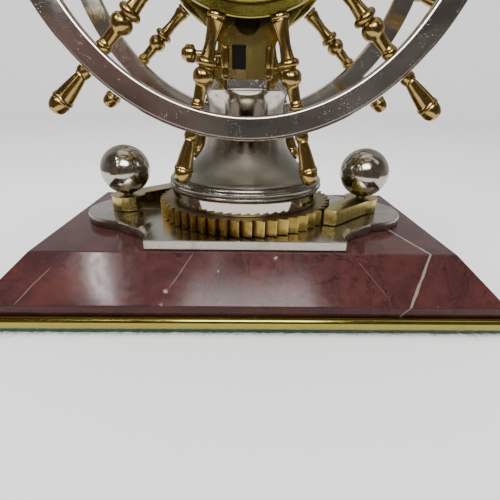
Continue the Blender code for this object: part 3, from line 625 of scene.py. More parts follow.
def build_felt():
    """The felt sheet, with an uneven edge and loose fibres round it."""
    rng = random.Random(4)
    low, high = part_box("felt_pad")
    inset = Vector((1.2 * MM, 1.2 * MM, 0))
    low, high = low + inset, high - inset
    pitch = 1.6 * MM
    corners = [(low.x, low.y), (high.x, low.y), (high.x, high.y), (low.x, high.y)]
    outline = []
    for start, end in zip(corners, corners[1:] + corners[:1]):
        count = int(math.dist(start, end) / pitch)
        for i in range(count):
            spot = [a + (b - a) * i / count for a, b in zip(start, end)]
            outline.append([c + rng.uniform(-0.25, 0.45) * MM for c in spot])
    bottom = [(x, y, 0) for x, y in outline]
    middle = [(x * 1.002, y * 1.002, high.z * rng.uniform(0.35, 0.6)) for x, y in outline]
    top = [(x * 0.998, y * 0.998, high.z) for x, y in outline]
    stand_in(lofted("felt_sheet", (bottom, middle, top), FELT, 60), "felt_pad")
    build_fibres(rng, high.x, high.y)


def build_fibres(rng, half_x, half_y):
    """Loose curled fibres along the felt's edge."""
    fibres = 900
    shape = bmesh.new()
    for _ in range(fibres):
        along = rng.uniform(0, 1)
        side = rng.choice(("front", "back", "left", "right", "front"))
        sign = -1 if side in ("front", "left") else 1
        if side in ("front", "back"):
            root = Vector((half_x * (2 * along - 1), sign * half_y, 0))
            out = Vector((0, sign, 0))
        else:
            root = Vector((sign * half_x, half_y * (2 * along - 1), 0))
            out = Vector((sign, 0, 0))
        root += out * 0.2 * MM
        root.z = rng.uniform(0.4, 1.9) * MM
        length = rng.uniform(0.8, 2.6) * MM * (2.2 if rng.random() < 0.04 else 1)
        drift = Vector((-out.y, out.x, 0)) * rng.uniform(-1.2, 1.2)
        points = []
        for k in range(4):
            share = k / 3
            spot = root + (out + drift * share) * length * share
            spot.z = max(0.12 * MM, root.z - root.z * share * rng.uniform(0.4, 1.0))
            points.append(spot)
        add_thread(shape, points, 0.07 * MM)
    trim(finish_mesh("felt_fibres", shape, FELT, 60), "base")


def add_thread(shape, points, radius):
    """A thin three-sided closed thread through the points."""
    rings = []
    for i, point in enumerate(points):
        ahead = points[min(i + 1, len(points) - 1)] - points[max(i - 1, 0)]
        side = ahead.orthogonal().normalized()
        other = ahead.cross(side).normalized()
        size = radius * (1 - 0.6 * i / len(points))
        spots = [point + (side * cos(t) + other * sin(t)) * size for t in turns(3)]
        rings.append([shape.verts.new(spot) for spot in spots])
    closed_skin(shape, rings)


def deck_outline():
    """The deck plate's outline: straight front and back, coved corners, a step and round lobes."""
    lobe_x, lobe_radius = 68.4 * MM, 25 * MM
    cove, cove_radius = (70.5 * MM, 53.0 * MM), 21.6 * MM
    waist = (48.9 * MM, 52.6 * MM)
    step = 3 * MM
    quarter = arc((lobe_x, 0), lobe_radius, 0, 86, 36)
    quarter.append((lobe_x, math.sqrt(lobe_radius**2 - step**2 / 4) + step))
    quarter += arc(cove, cove_radius, 243, 180, 22)
    quarter.append(waist)
    half = quarter + [(-x, y) for x, y in reversed(quarter)][:-1]
    return half + [(-x, -y) for x, y in half]


def build_deck():
    """The deck plate, satin above, with a bright rounded arris and a brushed edge."""
    studs = [circle((side * 70 * MM, 0), 3 * MM) for side in (-1, 1)]
    outlines = [deck_outline(), *studs, circle((0, 0), PIVOT_HOLE)]
    deck = plate("deck_plate_finished", outlines, DECK_LOW.z, DECK_TOP, 0.4 * MM, DECK_NICKEL, 1)
    paint(deck, NICKEL, lambda polygon: 0.1 <= abs(polygon.normal.z) < 0.9)
    paint(deck, EDGE_NICKEL, lambda polygon: abs(polygon.normal.z) < 0.1)
    stand_in(deck, "deck_plate")


def build_balls():
    """Steel balls, each narrowing to the flat that it stands on over its stud."""
    for side in ("left", "right"):
        low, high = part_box("ball_" + side)
        radius = (high.x - low.x) / 2 / MM
        middle = high.z / MM - radius
        stop = 0.93 * pi
        angles = [stop * i / 44 for i in range(45)]
        profile = [(radius * sin(t), middle + radius * cos(t)) for t in angles]
        foot = low.z / MM
        profile += [(2.9, middle - 0.985 * radius), (2.7, foot), (0, foot)]
        ball = lathe("steel_ball_" + side, profile, 72, STEEL)
        ball.location.x = (low.x + high.x) / 2
        stand_in(ball, "ball_" + side)


def build_pawls():
    """The pawls: square-edged brass bars with a round eye, softened at the arrises."""
    for side in ("left", "right"):
        softened("pawl_" + side, 0.35 * MM, BAR_BRASS)


# ---- capstan


def build_ratchet():
    """The saw-toothed wheel: brass teeth, a duller face."""
    teeth, tip, root = 50, 50 * MM, 46.6 * MM
    outline = []
    for k in range(teeth):
        for radius, turn in ((root, 0.06), (tip, 0.97)):
            angle = (k + turn) * 2 * pi / teeth
            outline.append((radius * cos(angle), radius * sin(angle)))
    outlines = [outline, circle((0, 0), PIVOT_HOLE)]
    low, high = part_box("ratchet_wheel")
    wheel = plate("ratchet_teeth", outlines, low.z, high.z, 0.07 * MM, TOOTH_BRASS, 0)
    paint(wheel, FACE_BRASS, lambda polygon: polygon.normal.z > 0.9)
    stand_in(wheel, "ratchet_wheel")


def build_drum():
    """The turned drum: a plain mirror band below, and two duller rounded lips above it."""
    low, high = ((corner.z - DECK_TOP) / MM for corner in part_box("capstan_drum"))
    band, bore = 42.5, 6.4
    profile = [(41.0, 22.0), (41.2, 21.0), (41.6, 20.6), (42.6, 20.5), (43.3, 20.3), (43.5, 19.9)]
    profile += [(43.3, 19.5), (43.0, 19.3), (42.95, 18.6), (43.1, 18.0), (43.6, 17.8), (43.9, 17.4)]
    profile += [(43.8, 16.9), (43.3, 16.4), (42.8, 15.7), (band, 15.2), (band, 14.9), (band, 12.0)]
    profile += [(band, low + 0.5), (band, low + 0.2), (42.3, low), (bore, low), (bore, high)]
    drum = lathe("drum_turned", profile, 192, DRUM_NICKEL, ring=True, smooth_under=50, up=DECK_TOP)
    lips = DECK_TOP + 15.8 * MM
    paint(drum, DULL_NICKEL, lambda polygon: polygon.center.z > lips)
    stand_in(drum, "capstan_drum")


def smooth_through(points, steps):
    """A smooth line through (radius, height) points, by Catmull-Rom."""

    def between(p, q, r, s, t):
        curl = (2 * p - 5 * q + 4 * r - s) * t * t + (3 * q - p - 3 * r + s) * t**3
        return 0.5 * (2 * q + (r - p) * t + curl)

    line = []
    padded = [points[0], *points, points[-1]]
    for four in zip(padded, padded[1:], padded[2:], padded[3:]):
        for i in range(steps):
            line.append(tuple(between(*numbers, i / steps) for numbers in zip(*four)))
    return line + [points[-1]]


def build_column():
    """The flared column, slotted across its top, and the flat wedge under the movement."""
    top = [(0, 71.3), (18.0, 71.3), (18.3, 71.0), (20.4, 68.9), (22.0, 67.2), (22.4, 66.7)]
    flare = [(22.5, 66.2), (22.1, 64.6), (21.2, 61.8), (20.4, 57.0), (20.1, 50.0), (21.7, 42.5)]
    flare += [(24.3, 35.8), (28.3, 30.5), (32.9, 26.5), (37.2, 24.2), (39.6, 23.4)]
    foot = [(40.4, 23.2), (41.0, 22.7), (41.1, 22.4), (0, 22.4)]
    profile = top + smooth_through(flare, 6) + foot
    column = lathe("column_turned", profile, 160, COLUMN_NICKEL, smooth_under=26, up=DECK_TOP)
    stand_in(carved(column, plain_box("neck_slot", (19.6, 60, 20), (0, 0, 76.5))), "capstan_column")
    levels = [at(9.4, 19.5, 66.8), at(8.8, 19.0, 71.3)]
    stand_in(tapered("neck_wedge", levels, 0.35 * MM, 2, NICKEL), "neck_block")


def plain_box(name, size, centre):
    """A cutting box, its size and place in millimetres, the place from the deck plate's top."""
    shape = bmesh.new()
    bmesh.ops.create_cube(shape, size=MM, matrix=Matrix.Diagonal((*size, 1)))
    piece = finish_mesh(name, shape, NICKEL)
    piece.data.transform(Matrix.Translation(at(*centre)))
    return piece


def carved(piece, tool):
    """The piece with a tool cut out of it, as a plain mesh."""
    modifier = piece.modifiers.new("cut", "BOOLEAN")
    modifier.object = tool
    modifier.operation = "DIFFERENCE"
    modifier.solver = "EXACT"
    mesh = mesh_of(piece)
    piece.modifiers.clear()
    piece.data = mesh
    mesh.set_sharp_from_angle(angle=radians(26))
    bpy.data.objects.remove(tool)
    return piece


def build_posts():
    """Turned posts against the movement's feet, and a turned knob at its left."""
    profile = [(0, 86.0), (1.0, 85.9), (1.7, 85.2), (1.9, 84.0), (1.9, 76.4), (1.6, 75.9)]
    profile += [(1.6, 75.3), (2.0, 74.9), (2.0, 72.6), (1.7, 71.9), (1.0, 71.2), (0.9, 70.4)]
    profile += [(0.85, 66.3), (0, 66.3)]
    for x in (-10.4, 10.4):
        for y in (-20.4, 20.4):
            corner = f"{'right' if x > 0 else 'left'}_{'front' if y < 0 else 'back'}"
            post = lathe("neck_post_" + corner, profile, 24, AGED_BRASS)
            post.location = at(x, y, 0)
            trim(post)
    knob = [(0, 31.2), (1.5, 31.1), (2.4, 30.5), (2.8, 29.6), (3.6, 29.0), (4.0, 28.2)]
    knob += [(4.0, 25.6), (3.6, 25.0), (2.2, 24.6), (1.6, 24.0), (1.6, 19.5), (2.6, 19.0)]
    knob += [(2.6, 17.6), (1.8, 17.2), (1.8, 12.5), (0, 12.5)]
    piece = lathe("side_knob", knob, 40, AGED_BRASS)
    piece.rotation_euler = (0, -pi / 2, 0)
    piece.location = at(0, -18.5, 81.6)
    trim(piece)


# ---- ship's wheels


def build_rims():
    """Nickel rims: flat faces, a rounded inner edge, and a stepped lip round the outside."""
    inner, outer, half, round_over = 89.0, 100.0, 2.5, 1.25
    edge = [(outer - 0.6, half), (outer - 0.15, half - 0.3), (outer, half - 0.8)]
    section = [(outer - 1.9, half - 0.02), (outer - 1.75, half - 0.2), (outer - 1.55, half - 0.2)]
    section += [(outer - 1.3, half)] + edge + [(r, -z) for r, z in reversed(edge)]
    section += [(inner + 0.9, -half), (inner + 0.15, -half + 0.8), (inner, -half + 1.1)]
    section += arc((inner + round_over, half - round_over), round_over, 180, 90, 8)
    for name, side, turn in SIDES:
        rim = lathe(name + "_rim_turned", section, 240, NICKEL, ring=True, smooth_under=30)
        stand_in(turn(rim, y=side * WHEEL_Y), name + "_rim")


def spoke_profile():
    """A turned spoke, from the end of its handle to the hub."""
    handle = [(0, 125.0), (1.2, 124.9), (2.4, 124.5), (3.4, 123.6), (4.05, 122.2), (4.35, 120.6)]
    rings = [(4.4, 119.0), (4.25, 118.6), (4.6, 118.4), (4.8, 118.0), (4.6, 117.6), (4.3, 117.5)]
    taper = [(4.55, 117.2), (4.6, 116.9), (4.3, 116.6), (4.15, 116.0), (3.6, 111.5), (2.95, 107.0)]
    waist = [(2.5, 104.4), (2.45, 103.9), (2.75, 103.7), (2.95, 103.3), (2.75, 102.9), (2.7, 102.7)]
    tenon = [(3.15, 102.4), (3.3, 101.6), (3.2, 100.7), (3.1, 100.2), (1.5, 100.15), (1.5, 88.7)]
    foot = [(3.1, 88.6), (3.35, 88.1), (3.4, 87.2), (3.2, 86.7), (2.8, 86.5), (3.05, 86.2)]
    shaft = [(3.0, 85.7), (2.7, 85.4), (2.65, 84.8), (2.75, 82.0), (2.85, 79.6), (3.0, 78.9)]
    ball = [(3.8, 78.2), (4.5, 77.0), (4.75, 75.6), (4.75, 74.6), (4.4, 73.3), (3.6, 72.4)]
    second_ball = [(3.0, 72.0), (3.1, 71.5), (3.9, 71.2), (4.7, 70.6), (4.95, 69.6), (4.7, 68.6)]
    inner = [(3.9, 67.9), (3.1, 67.6), (3.0, 67.0), (2.8, 65.5), (2.5, 62.0), (2.9, 57.0)]
    end = [(3.6, 54.2), (3.9, 53.4), (3.4, 53.0), (3.3, 52.4), (3.9, 51.9), (4.0, 51.2)]
    outer_part = handle + rings + taper + waist + tenon
    return outer_part + foot + shaft + ball + second_ball + inner + end + [(3.6, 50.5), (0, 50.5)]


def build_spokes():
    """Twelve spokes a wheel, all of one turned mesh."""
    first = lathe("spoke_master", spoke_profile(), 28, AGED_BRASS, smooth_under=42)
    mesh = first.data
    bpy.data.objects.remove(first)
    for name, side, _ in SIDES:
        place = Matrix.Translation((0, side * WHEEL_Y, WHEEL_Z))
        for k in range(SPOKES):
            label = f"{name}_spoke_{k + 1:02d}"
            spoke = add(label + "_turned", mesh)
            spoke.matrix_world = place @ spin((k + 0.5) * 360 / SPOKES, "Y")
            stand_in(spoke, label)


def build_hubs():
    """Moulded brass hub rings, each with six screws."""
    inner, outer, half = 39.0, 50.0, 3.5
    section = [(outer - 0.6, half), (outer, half - 0.6), (outer, half - 2.2)]
    section.append((outer - 0.7, half - 2.6))
    section += [(r, -z) for r, z in reversed(section)]
    section += [(inner + 0.5, -half), (inner, -half + 0.5), (inner, half - 0.5)]
    section += [(inner + 0.5, half), (outer - 5.6, half), (outer - 5.2, half - 0.5)]
    section += [(outer - 4.6, half - 0.5), (outer - 4.2, half)]
    for name, side, turn in SIDES:
        hub = lathe(name + "_hub_turned", section, 180, GOLD_BRASS, ring=True)
        stand_in(turn(hub, y=side * WHEEL_Y), name + "_hub")
        for k, (x, z) in enumerate(circle((0, 0), 47.2 * MM, 6)):
            screw = screw_head(f"{name}_hub_screw_{k + 1}", 1.7 * MM, 25 + 67 * k)
            turn(screw, x=x, z=z, y=side * (WHEEL_Y + half * MM))
            trim(screw)


def screw_head(name, radius, angle):
    """A domed, slotted screw head standing on XY, its slot turned by an angle in degrees."""
    height, slot = radius * 0.55, radius * 0.16
    shape = bmesh.new()
    rings = []
    for share, level in ((1.0, -0.3), (1.0, 0.55), (0.9, 0.82), (0.7, 0.95), (0.45, 1.0)):
        loop = circle((0, 0), radius * share, 32)
        rings.append([shape.verts.new((x, y, height * level)) for x, y in loop])
    closed_skin(shape, rings)
    for edge in (-slot, slot):
        everything = shape.verts[:] + shape.edges[:] + shape.faces[:]
        bmesh.ops.bisect_plane(shape, geom=everything, plane_co=(0, edge, 0), plane_no=(0, 1, 0))
    for vert in shape.verts:
        if abs(vert.co.y) < slot * 0.98 and vert.co.z > 0:
            vert.co.z = height * 0.35
    piece = finish_mesh(name, shape, BLUED, 40)
    piece.data.transform(spin(angle, "Z"))
    return piece


# ---- dial and hands


NUMERALS = ("XII", "I", "II", "III", "IIII", "V", "VI", "VII", "VIII", "IX", "X", "XI")


def stroke(shape, turn, start, end, width, low, high):
    """One straight stroke of a numeral as a closed bar; turn places the numeral on the ring."""
    a, b = Vector((*start, 0)), Vector((*end, 0))
    across = Vector((-(b - a).y, (b - a).x, 0)).normalized() * width / 2
    base = [a - across, b - across, b + across, a + across]
    rings = [[shape.verts.new(turn @ (p + Vector((0, 0, z)))) for p in base] for z in (low, high)]
    closed_skin(shape, rings)


def numeral(shape, turn, text, size, low):
    """A Roman numeral with thick and thin strokes and flat serifs, centred on the origin."""
    widths = {"I": 0.34 * size, "V": 0.66 * size, "X": 0.66 * size}
    thick, thin, margin = size * 0.15, size * 0.055, size * 0.12
    total = sum(widths[letter] for letter in text)
    half = size / 2
    high = low + 0.07 * MM
    over = high + 0.01 * MM
    x = -total / 2
    for letter in text:
        width = widths[letter]
        left, right, middle = x + margin, x + width - margin, x + width / 2
        if letter == "I":
            stroke(shape, turn, (middle, -half), (middle, half), thick, low, high)
        if letter == "V":
            stroke(shape, turn, (left, half), (middle, -half), thick, low, high)
            stroke(shape, turn, (right, half), (middle, -half), thin, low, over)
        if letter == "X":
            stroke(shape, turn, (left, half), (right, -half), thick, low, high)
            stroke(shape, turn, (right, half), (left, -half), thin, low, over)
        x += width
    end = total / 2 - 0.02 * size
    for y in (-half, half):
        stroke(shape, turn, (-end, y), (end, y), thin, low, high + 0.02 * MM)


def build_dial():
    """The enamel chapter ring in its bezels, with numerals and a minute track."""
    low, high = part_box("chapter_ring")
    back, front = -high.y, -low.y
    inner, outer = 26.0, 44.0
    rear, face = back / MM, front / MM
    shoulder, rim = face - 0.2, face - 0.5
    section = [(outer, rear), (inner, rear), (inner, rim), (inner + 0.4, shoulder)]
    section += [(inner + 4, face), (outer - 4, face), (outer - 0.4, shoulder), (outer, rim)]
    ring = lathe("enamel_ring", section, 180, ENAMEL, ring=True, smooth_under=40)
    stand_in(face_front(ring), "chapter_ring")
    shape = bmesh.new()
    surface = front - 0.03 * MM
    out = Matrix.Translation((0, 33.6 * MM, 0))
    for hour, text in enumerate(NUMERALS):
        turn = spin(-30 * hour, "Z")
        numeral(shape, turn @ out, text, 6.6 * MM, surface)
    for minute in range(60):
        turn = spin(-6 * minute, "Z")
        width = 0.55 * MM if minute % 5 == 0 else 0.2 * MM
        stroke(shape, turn, (0, 39.3 * MM), (0, 40.7 * MM), width, surface, surface + 0.05 * MM)
    trim(face_front(finish_mesh("dial_numerals", shape, INK, 20)))
    for number, radius in enumerate((39.2, 40.8), 1):
        near, far = radius - 0.09, radius + 0.09
        section = [(near, 0), (far, 0), (far, 0.05), (near, 0.05)]
        line = lathe(f"minute_track_{number}", section, 180, INK, ring=True, up=surface)
        trim(face_front(line))
    build_bezels(back)


def build_bezels(back):
    """Knurled brass bezels inside and outside the enamel ring."""
    ridges, width = 150, 1.5
    section = [(0, 0), (width, 0), (width, 1.2)]
    section += [(width * 0.8, 1.8), (width * 0.45, 2.05), (width * 0.1, 1.7)]
    for name, radius in (("outer_bezel", 44.2), ("inner_bezel", 24.4)):
        loops = []
        for out, height in section:
            loop = []
            for k, angle in enumerate(turns(2 * ridges)):
                ripple = 0.12 * (-1) ** k if height > 1.5 else 0
                r = (radius + out + ripple * 0.4) * MM
                loop.append((r * cos(angle), r * sin(angle), back + (height + ripple) * MM))
            loops.append(loop)
        trim(face_front(lofted(name, loops, GOLD_BRASS, 70, True)))


def turned_about(points, angle):
    c, s = cos(angle), sin(angle)
    return [(x * c - y * s, x * s + y * c) for x, y in points]


def moon_hand(length, eye, width):
    """A hand with a pierced moon near its tip: outer outline and the hole in the moon."""
    moon = length * 0.7
    size = width * 1.35
    shaft = [(width * 0.42, eye + 1.4 * MM), (width * 0.24, moon - size)]
    gap = math.degrees(math.asin(width * 0.24 / size))
    right = shaft + arc((0, moon), size, -90 + gap, 90 - gap, 14)
    right += [(width * 0.22, moon + size * 1.05), (0.12 * MM, length)]
    left = [(-x, y) for x, y in reversed(right)]
    boss = arc((0, 0), eye + 1.6 * MM, 108, 432, 40)
    return boss + right + left, circle((0, moon + size * 0.12), size * 0.66, 28)


def build_hands():
    """The blued hands at ten past ten, and the brass cap over them."""
    for name, node, length, eye, width, shown in (
        ("hour_hand_blued", "hour_hand", 26 * MM, 3.15 * MM, 2.3 * MM, 305),
        ("minute_hand_blued", "minute_hand", 37 * MM, 1.65 * MM, 1.9 * MM, 60),
    ):
        low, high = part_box(node)
        outlines = *moon_hand(length, eye, width), circle((0, 0), eye)
        turned = [turned_about(outline, -radians(shown)) for outline in outlines]
        hand = plate(name, turned, -high.y, -low.y, 0.14 * MM, BLUED, 2)
        stand_in(face_front(hand), node)
    profile = [(0, 0.9), (0.7, 0.85), (1.4, 0.5), (1.7, 0), (1.7, -0.6), (0, -0.6)]
    cap = lathe("centre_cap", profile, 40, GOLD_BRASS)
    trim(face_front(cap, y=low.y - 0.2 * MM), "centre")


# ---- movement


def dial_place(node):
    """Where a joint stands round the dial's centre."""
    for joint in frame["joints"]:
        if joint["child"] == node:
            return joint["pos_m"][0], joint["pos_m"][2] - WHEEL_Z
    return 0.0, 0.0


def two_tone(node, wheel_material, near=-math.inf, far=math.inf):
    """Give a wheel its metal between two depths in millimetres, and its arbor beyond steel."""
    slack = 0.05
    low, high = (near - slack) * MM, (far + slack) * MM
    piece = NODES[node]
    piece.data.materials.clear()
    piece.data.materials.append(wheel_material)
    for polygon in piece.data.polygons:
        polygon.material_index = 0
    paint(piece, TOOL_STEEL, lambda polygon: not low <= polygon.center.y <= high)
    piece.data.shade_smooth()
    piece.data.set_sharp_from_angle(angle=radians(36))


def build_train():
    """The wheels keep their CAD shape; each gets its metals."""
    for node, near, far in (
        ("centre_wheel", 4.0, 5.5),
        ("third_wheel", 10.0, 11.5),
        ("escape_wheel", 1.0, 2.2),
        ("minute_wheel", -23.5, -22.0),
        ("hour_wheel", -41.6, -26.8),
        ("barrel", -14.0, 1.0),
        ("balance_wheel", 23.6, 26.0),
    ):
        two_tone(node, GOLD_BRASS, near, far)
    for node in ("pallet_lever", "pivot_post", "pivot_nut"):
        two_tone(node, TOOL_STEEL)


def build_plates():
    """Softened plates with jewelled pivots, the pillars, the cock and the seat."""
    for node in ("front_plate", "rear_plate", "movement_seat", "balance_cock"):
        softened(node, 0.3 * MM, PLATE_BRASS)
    for number in (1, 2, 3):
        pillar(number)
    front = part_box("front_plate")[0].y
    for name, left, right, foot, head, material in (
        # painted shade: a near-black panel stands for the unlit inside of the opening in the front
        # plate
        ("plate_opening", -7.2, -0.6, -68.9, -58.6, OPENING_SHADE),
        ("plate_inlay", -5.0, -0.7, -73.4, -69.0, FACE_BRASS),
    ):
        corners = (left, foot), (right, foot), (right, head), (left, head)
        outline = [(x * MM, z * MM) for x, z in corners]
        low, high = -front - 0.3 * MM, -front + 0.06 * MM
        panel = plate(name, [outline], low, high, 0.02 * MM, material, 0)
        trim(face_front(panel))
    for name in ("third", "escape", "pallet"):
        for end, side, turn in (("front", 1, face_front), ("back", -1, face_back)):
            jewel_setting(f"{name}_jewel_{end}", turn, *dial_place(name), side * front)
    x, z = dial_place("balance")
    jewel_setting("balance_jewel_front", face_front, x, z, front)
    low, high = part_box("balance_cock")
    jewel_setting("balance_jewel_back", face_back, x, z, high.y)
    screw, inset = screw_head("cock_screw", 2.3 * MM, 40), 4.6 * MM
    face_back(screw, x=high.x - inset, z=low.z + inset - WHEEL_Z, y=high.y)
    trim(screw)


def jewel_setting(name, turn, x, z, y):
    """A ruby in a polished brass setting over a pivot."""
    profile = [(2.3, 0.0), (2.3, 0.2), (2.1, 0.35), (1.5, 0.35), (1.3, 0.2), (1.3, 0.0)]
    setting = lathe(name + "_setting", profile, 36, AGED_BRASS, ring=True)
    trim(turn(setting, x=x, z=z, y=y))
    profile = [(0, 0.22), (0.5, 0.22), (1.0, 0.3), (1.28, 0.22), (1.28, 0.02), (0, 0.02)]
    trim(turn(lathe(name, profile, 32, RUBY), x=x, z=z, y=y))


def pillar(number):
    """A pillar turned with beads at its shoulders and a swelling in its middle."""
    low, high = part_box(f"pillar_{number}")
    x, z = (low.x + high.x) / 2, (low.z + high.z) / 2
    end = high.y / MM
    half = [(0, end), (3.4, end), (3.4, 24.0), (2.9, 23.6), (2.7, 22.6), (3.4, 21.8), (3.4, 20.3)]
    half += [(2.5, 20.3), (2.5, 16.7), (3.4, 16.7), (3.4, 15.4), (2.9, 14.9), (3.2, 14.3)]
    half += [(3.1, 13.6), (2.3, 12.6), (2.0, 10.0), (2.3, 4.0), (2.7, 1.6), (3.2, 0.9)]
    profile = half + [(3.35, 0.0)] + [(r, -h) for r, h in reversed(half)]
    piece = lathe(f"pillar_{number}_turned", profile, 40, GOLD_BRASS)
    stand_in(face_front(piece, x=x, z=z - WHEEL_Z), f"pillar_{number}")


def build_hairspring():
    """The balance's flat spiral spring under its cock."""
    x, z = dial_place("balance")
    curve = bpy.data.curves.new("balance_spring", "CURVE")
    curve.dimensions = "3D"
    curve.bevel_depth = 0.09 * MM
    curve.bevel_resolution = 1
    spline = curve.splines.new("POLY")
    coils, steps = 7, 36
    count = coils * steps
    spline.points.add(count)
    for i, point in enumerate(spline.points):
        angle = 2 * pi * i / steps
        radius = (1.5 + 6.0 * i / count) * MM
        point.co = (radius * cos(angle), radius * sin(angle), 0, 1)
    sketch = add("sketch", curve)
    mesh = mesh_of(sketch)
    bpy.data.objects.remove(sketch)
    mesh.materials.clear()
    mesh.materials.append(BLUED)
    mesh.shade_smooth()
    spring = add("balance_spring", mesh)
    trim(face_front(spring, x=x, z=z, y=26.5 * MM))


# ---- studio


def build_studio():
    """A pale paper floor that curves up into a pale wall all round, painted a little darker far off,
    and glowing more the farther it is, a painted light that brightens the wall.
    """
    bend = arc((1900, 500), 500, -90, 0, 12)
    profile = [(0, 0), (300, 0), (800, 0), *bend, (2400, 2400)]
    s = Shader("studio_paper")
    away = s.vector("LENGTH", s.place)
    # painted shade: the paper is a little darker far off
    near = s.mix(s.noise(3), (0.79, 0.8, 0.8), (0.81, 0.82, 0.82))
    far = s.mix(s.noise(2), (0.72, 0.72, 0.71), (0.74, 0.74, 0.73))
    s.set(Base_Color=s.mix(s.spread(away, 0.28, 0.5), near, far), Roughness=0.9)
    s.bump(s.noise(400), 0.02 * MM)
    # painted light: the paper glows, more the farther it is, to brighten the wall
    s.set(Emission_Strength=s.spread(away, 0.2, 2.6, 0.05, 0.38), Emission_Color=(1.0, 1.0, 0.995))
    lathe("studio_floor", profile, 96, s.material, smooth_under=60)


def area_light(name, place, aim, size, power, colour):
    """A soft lamp that lights the clock but isn't seen in its polish."""
    data = bpy.data.lights.new(name, "AREA")
    data.shape = "RECTANGLE"
    data.size, data.size_y = size
    data.energy = power
    data.color = colour
    lamp = add(name, data)
    lamp.location = place
    lamp.rotation_euler = (Vector(aim) - Vector(place)).to_track_quat("-Z", "Y").to_euler()
    lamp.visible_glossy = False
    lamp.visible_camera = False


def build_lights():
    target = (0, 0, 0.1)
    area_light("window_left", (-0.75, -0.45, 0.55), target, (0.35, 0.7), 9, (1.0, 0.99, 0.97))
    area_light("ceiling", (0.1, 0.1, 1.25), target, (1.4, 1.2), 18, (1.0, 0.99, 0.98))
    area_light("window_right", (0.9, -0.3, 0.5), target, (0.3, 0.6), 4, (0.97, 0.98, 1.0))
    world = bpy.data.worlds.new("studio")
    bpy.context.scene.world = world
    world.use_nodes = True
    backdrop = world.node_tree.nodes["Background"]
    backdrop.inputs[0].default_value = (0.95, 0.97, 1.0, 1)
    backdrop.inputs[1].default_value = 0.6


def patch(s, value, middle, half, soft):
    """One where a value is within half of the middle, fading to zero over soft."""
    away = s.absolute(s.minus(value, middle))
    return s.spread(away, half + soft, half)


# what the room shows in polished metal: azimuth and elevation in degrees, half sizes, softness,
# brightness, and how far the pane leans, in degrees of azimuth for each degree of elevation
PANES = (
    (-43.6, 48, 1.9, 3.0, 4, 42.0, 1.55),
    (2, 45, 17, 4.5, 8, 14.0, 0),
    (-30, 33, 2.5, 2.5, 2, 6.0, 0),
    (-10, 58, 1.5, 1.5, 1.5, 6.0, 0),
    (70, 52, 6, 8, 8, 1.2, 0),
)


def build_room():
    """The room as polish shows it: a dome only reflections see, pale behind, dim in front."""
    radius, rows = 450, 16
    rise = [(radius * cos(t), radius * sin(t)) for t in turns(rows, pi / 2)]
    s = Shader("room_seen_in_polish")
    x, y, z = s.axes()
    azimuth = s.sums("DEGREES", s.sums("ARCTAN2", x, s.times(y, -1.0)))
    elevation = s.sums("DEGREES", s.sums("ARCSINE", s.sums("DIVIDE", z, radius * MM)))
    side = s.absolute(azimuth)
    behind = s.spread(side, 84, 116)
    beside = s.spread(side, 46, 72)
    low = s.spread(elevation, 42, 18)
    front = s.spread(s.times(beside, low), 0.0, 1.0, 0.1, 0.21)
    clutter = s.spread(s.noise(7, 4, 0.6), 0.35, 0.65, 0.6, 1.3)
    level = s.plus(s.times(front, clutter), s.times(behind, 0.32))
    level = s.plus(level, s.times(s.spread(elevation, 58, 70), 0.95))
    for pane_azimuth, pane_elevation, half_azimuth, half_elevation, soft, strength, lean in PANES:
        leaning = s.sums("MULTIPLY_ADD", s.minus(elevation, pane_elevation), lean, azimuth)
        across = patch(s, leaning, pane_azimuth, half_azimuth, soft * 0.6)
        along = patch(s, elevation, pane_elevation, half_elevation, soft)
        level = s.plus(level, s.times(s.times(across, along), strength))
    tint = s.mix(behind, (1.0, 0.9, 0.8), (1.0, 0.995, 0.98))
    tint = s.mix(s.spread(level, 0.5, 2.0), tint, (1.0, 0.99, 0.97))
    s.set(Emission_Color=tint, Emission_Strength=level, Roughness=1.0, Base_Color=(0, 0, 0))
    reflected_only(lathe("room_dome", [*rise, (0, radius)], 64, s.material))


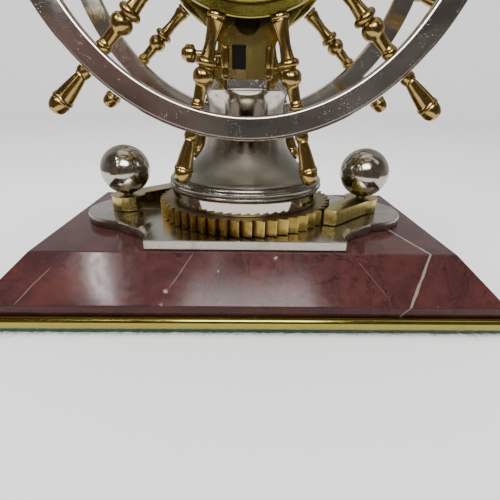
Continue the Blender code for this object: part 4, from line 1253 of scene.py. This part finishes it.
def reflected_only(piece):
    """A piece of the studio that only reflections see."""
    for ray in ("camera", "diffuse", "shadow", "transmission"):
        setattr(piece, "visible_" + ray, False)


def build_figure():
    """The person in front of the clock, as polish shows them: a dim, mottled, curved screen."""
    steps, reach, top = 24, 0.27, 0.16
    shape = bmesh.new()
    line = arc((0, 0), reach, -156, -24, steps)
    lower, upper = ([shape.verts.new((x, y, z)) for x, y in line] for z in (0.001, top))
    for i in range(steps):
        shape.faces.new((lower[i], lower[i + 1], upper[i + 1], upper[i]))
    s = Shader("figure_seen_in_polish")
    across = s.axes()[0]
    tint = s.mix(s.spread(across, -0.1, -0.02), (0.17, 0.105, 0.09), (0.11, 0.098, 0.085))
    tint = s.mix(s.spread(across, 0.05, 0.12), tint, (0.115, 0.105, 0.098))
    mottle = s.spread(s.noise(16, 4, 0.6), 0.3, 0.7, 0.6, 1.5)
    s.set(Emission_Color=tint, Emission_Strength=mottle, Roughness=1.0, Base_Color=(0, 0, 0))
    reflected_only(finish_mesh("figure_screen", shape, s.material))


def build_camera():
    """Close in front of the clock, a little above its base, looking down."""
    pitch, yaw, roll = 0.4163, 0.0232, 0.0189
    level = Vector((cos(yaw), -sin(yaw), 0))
    flat = cos(pitch)
    ahead = Vector((sin(yaw) * flat, cos(yaw) * flat, -sin(pitch)))
    rise = level.cross(ahead)
    right = cos(roll) * level + sin(roll) * rise
    up = cos(roll) * rise - sin(roll) * level
    data = bpy.data.cameras.new("camera")
    data.sensor_width = 36
    data.lens = 25.92
    data.clip_start = 0.005
    camera = add("camera", data)
    camera.matrix_world = Matrix((right, up, -ahead)).transposed().to_4x4()
    camera.location = at(-1.49, -212.19, 66.04)
    bpy.context.scene.camera = camera


build_marble()
build_moulding()
build_felt()
build_deck()
build_balls()
build_pawls()
build_ratchet()
build_drum()
build_column()
build_posts()
build_rims()
build_spokes()
build_hubs()
build_dial()
build_hands()
build_train()
build_plates()
build_hairspring()
build_studio()
build_lights()
build_figure()
build_room()
build_camera()
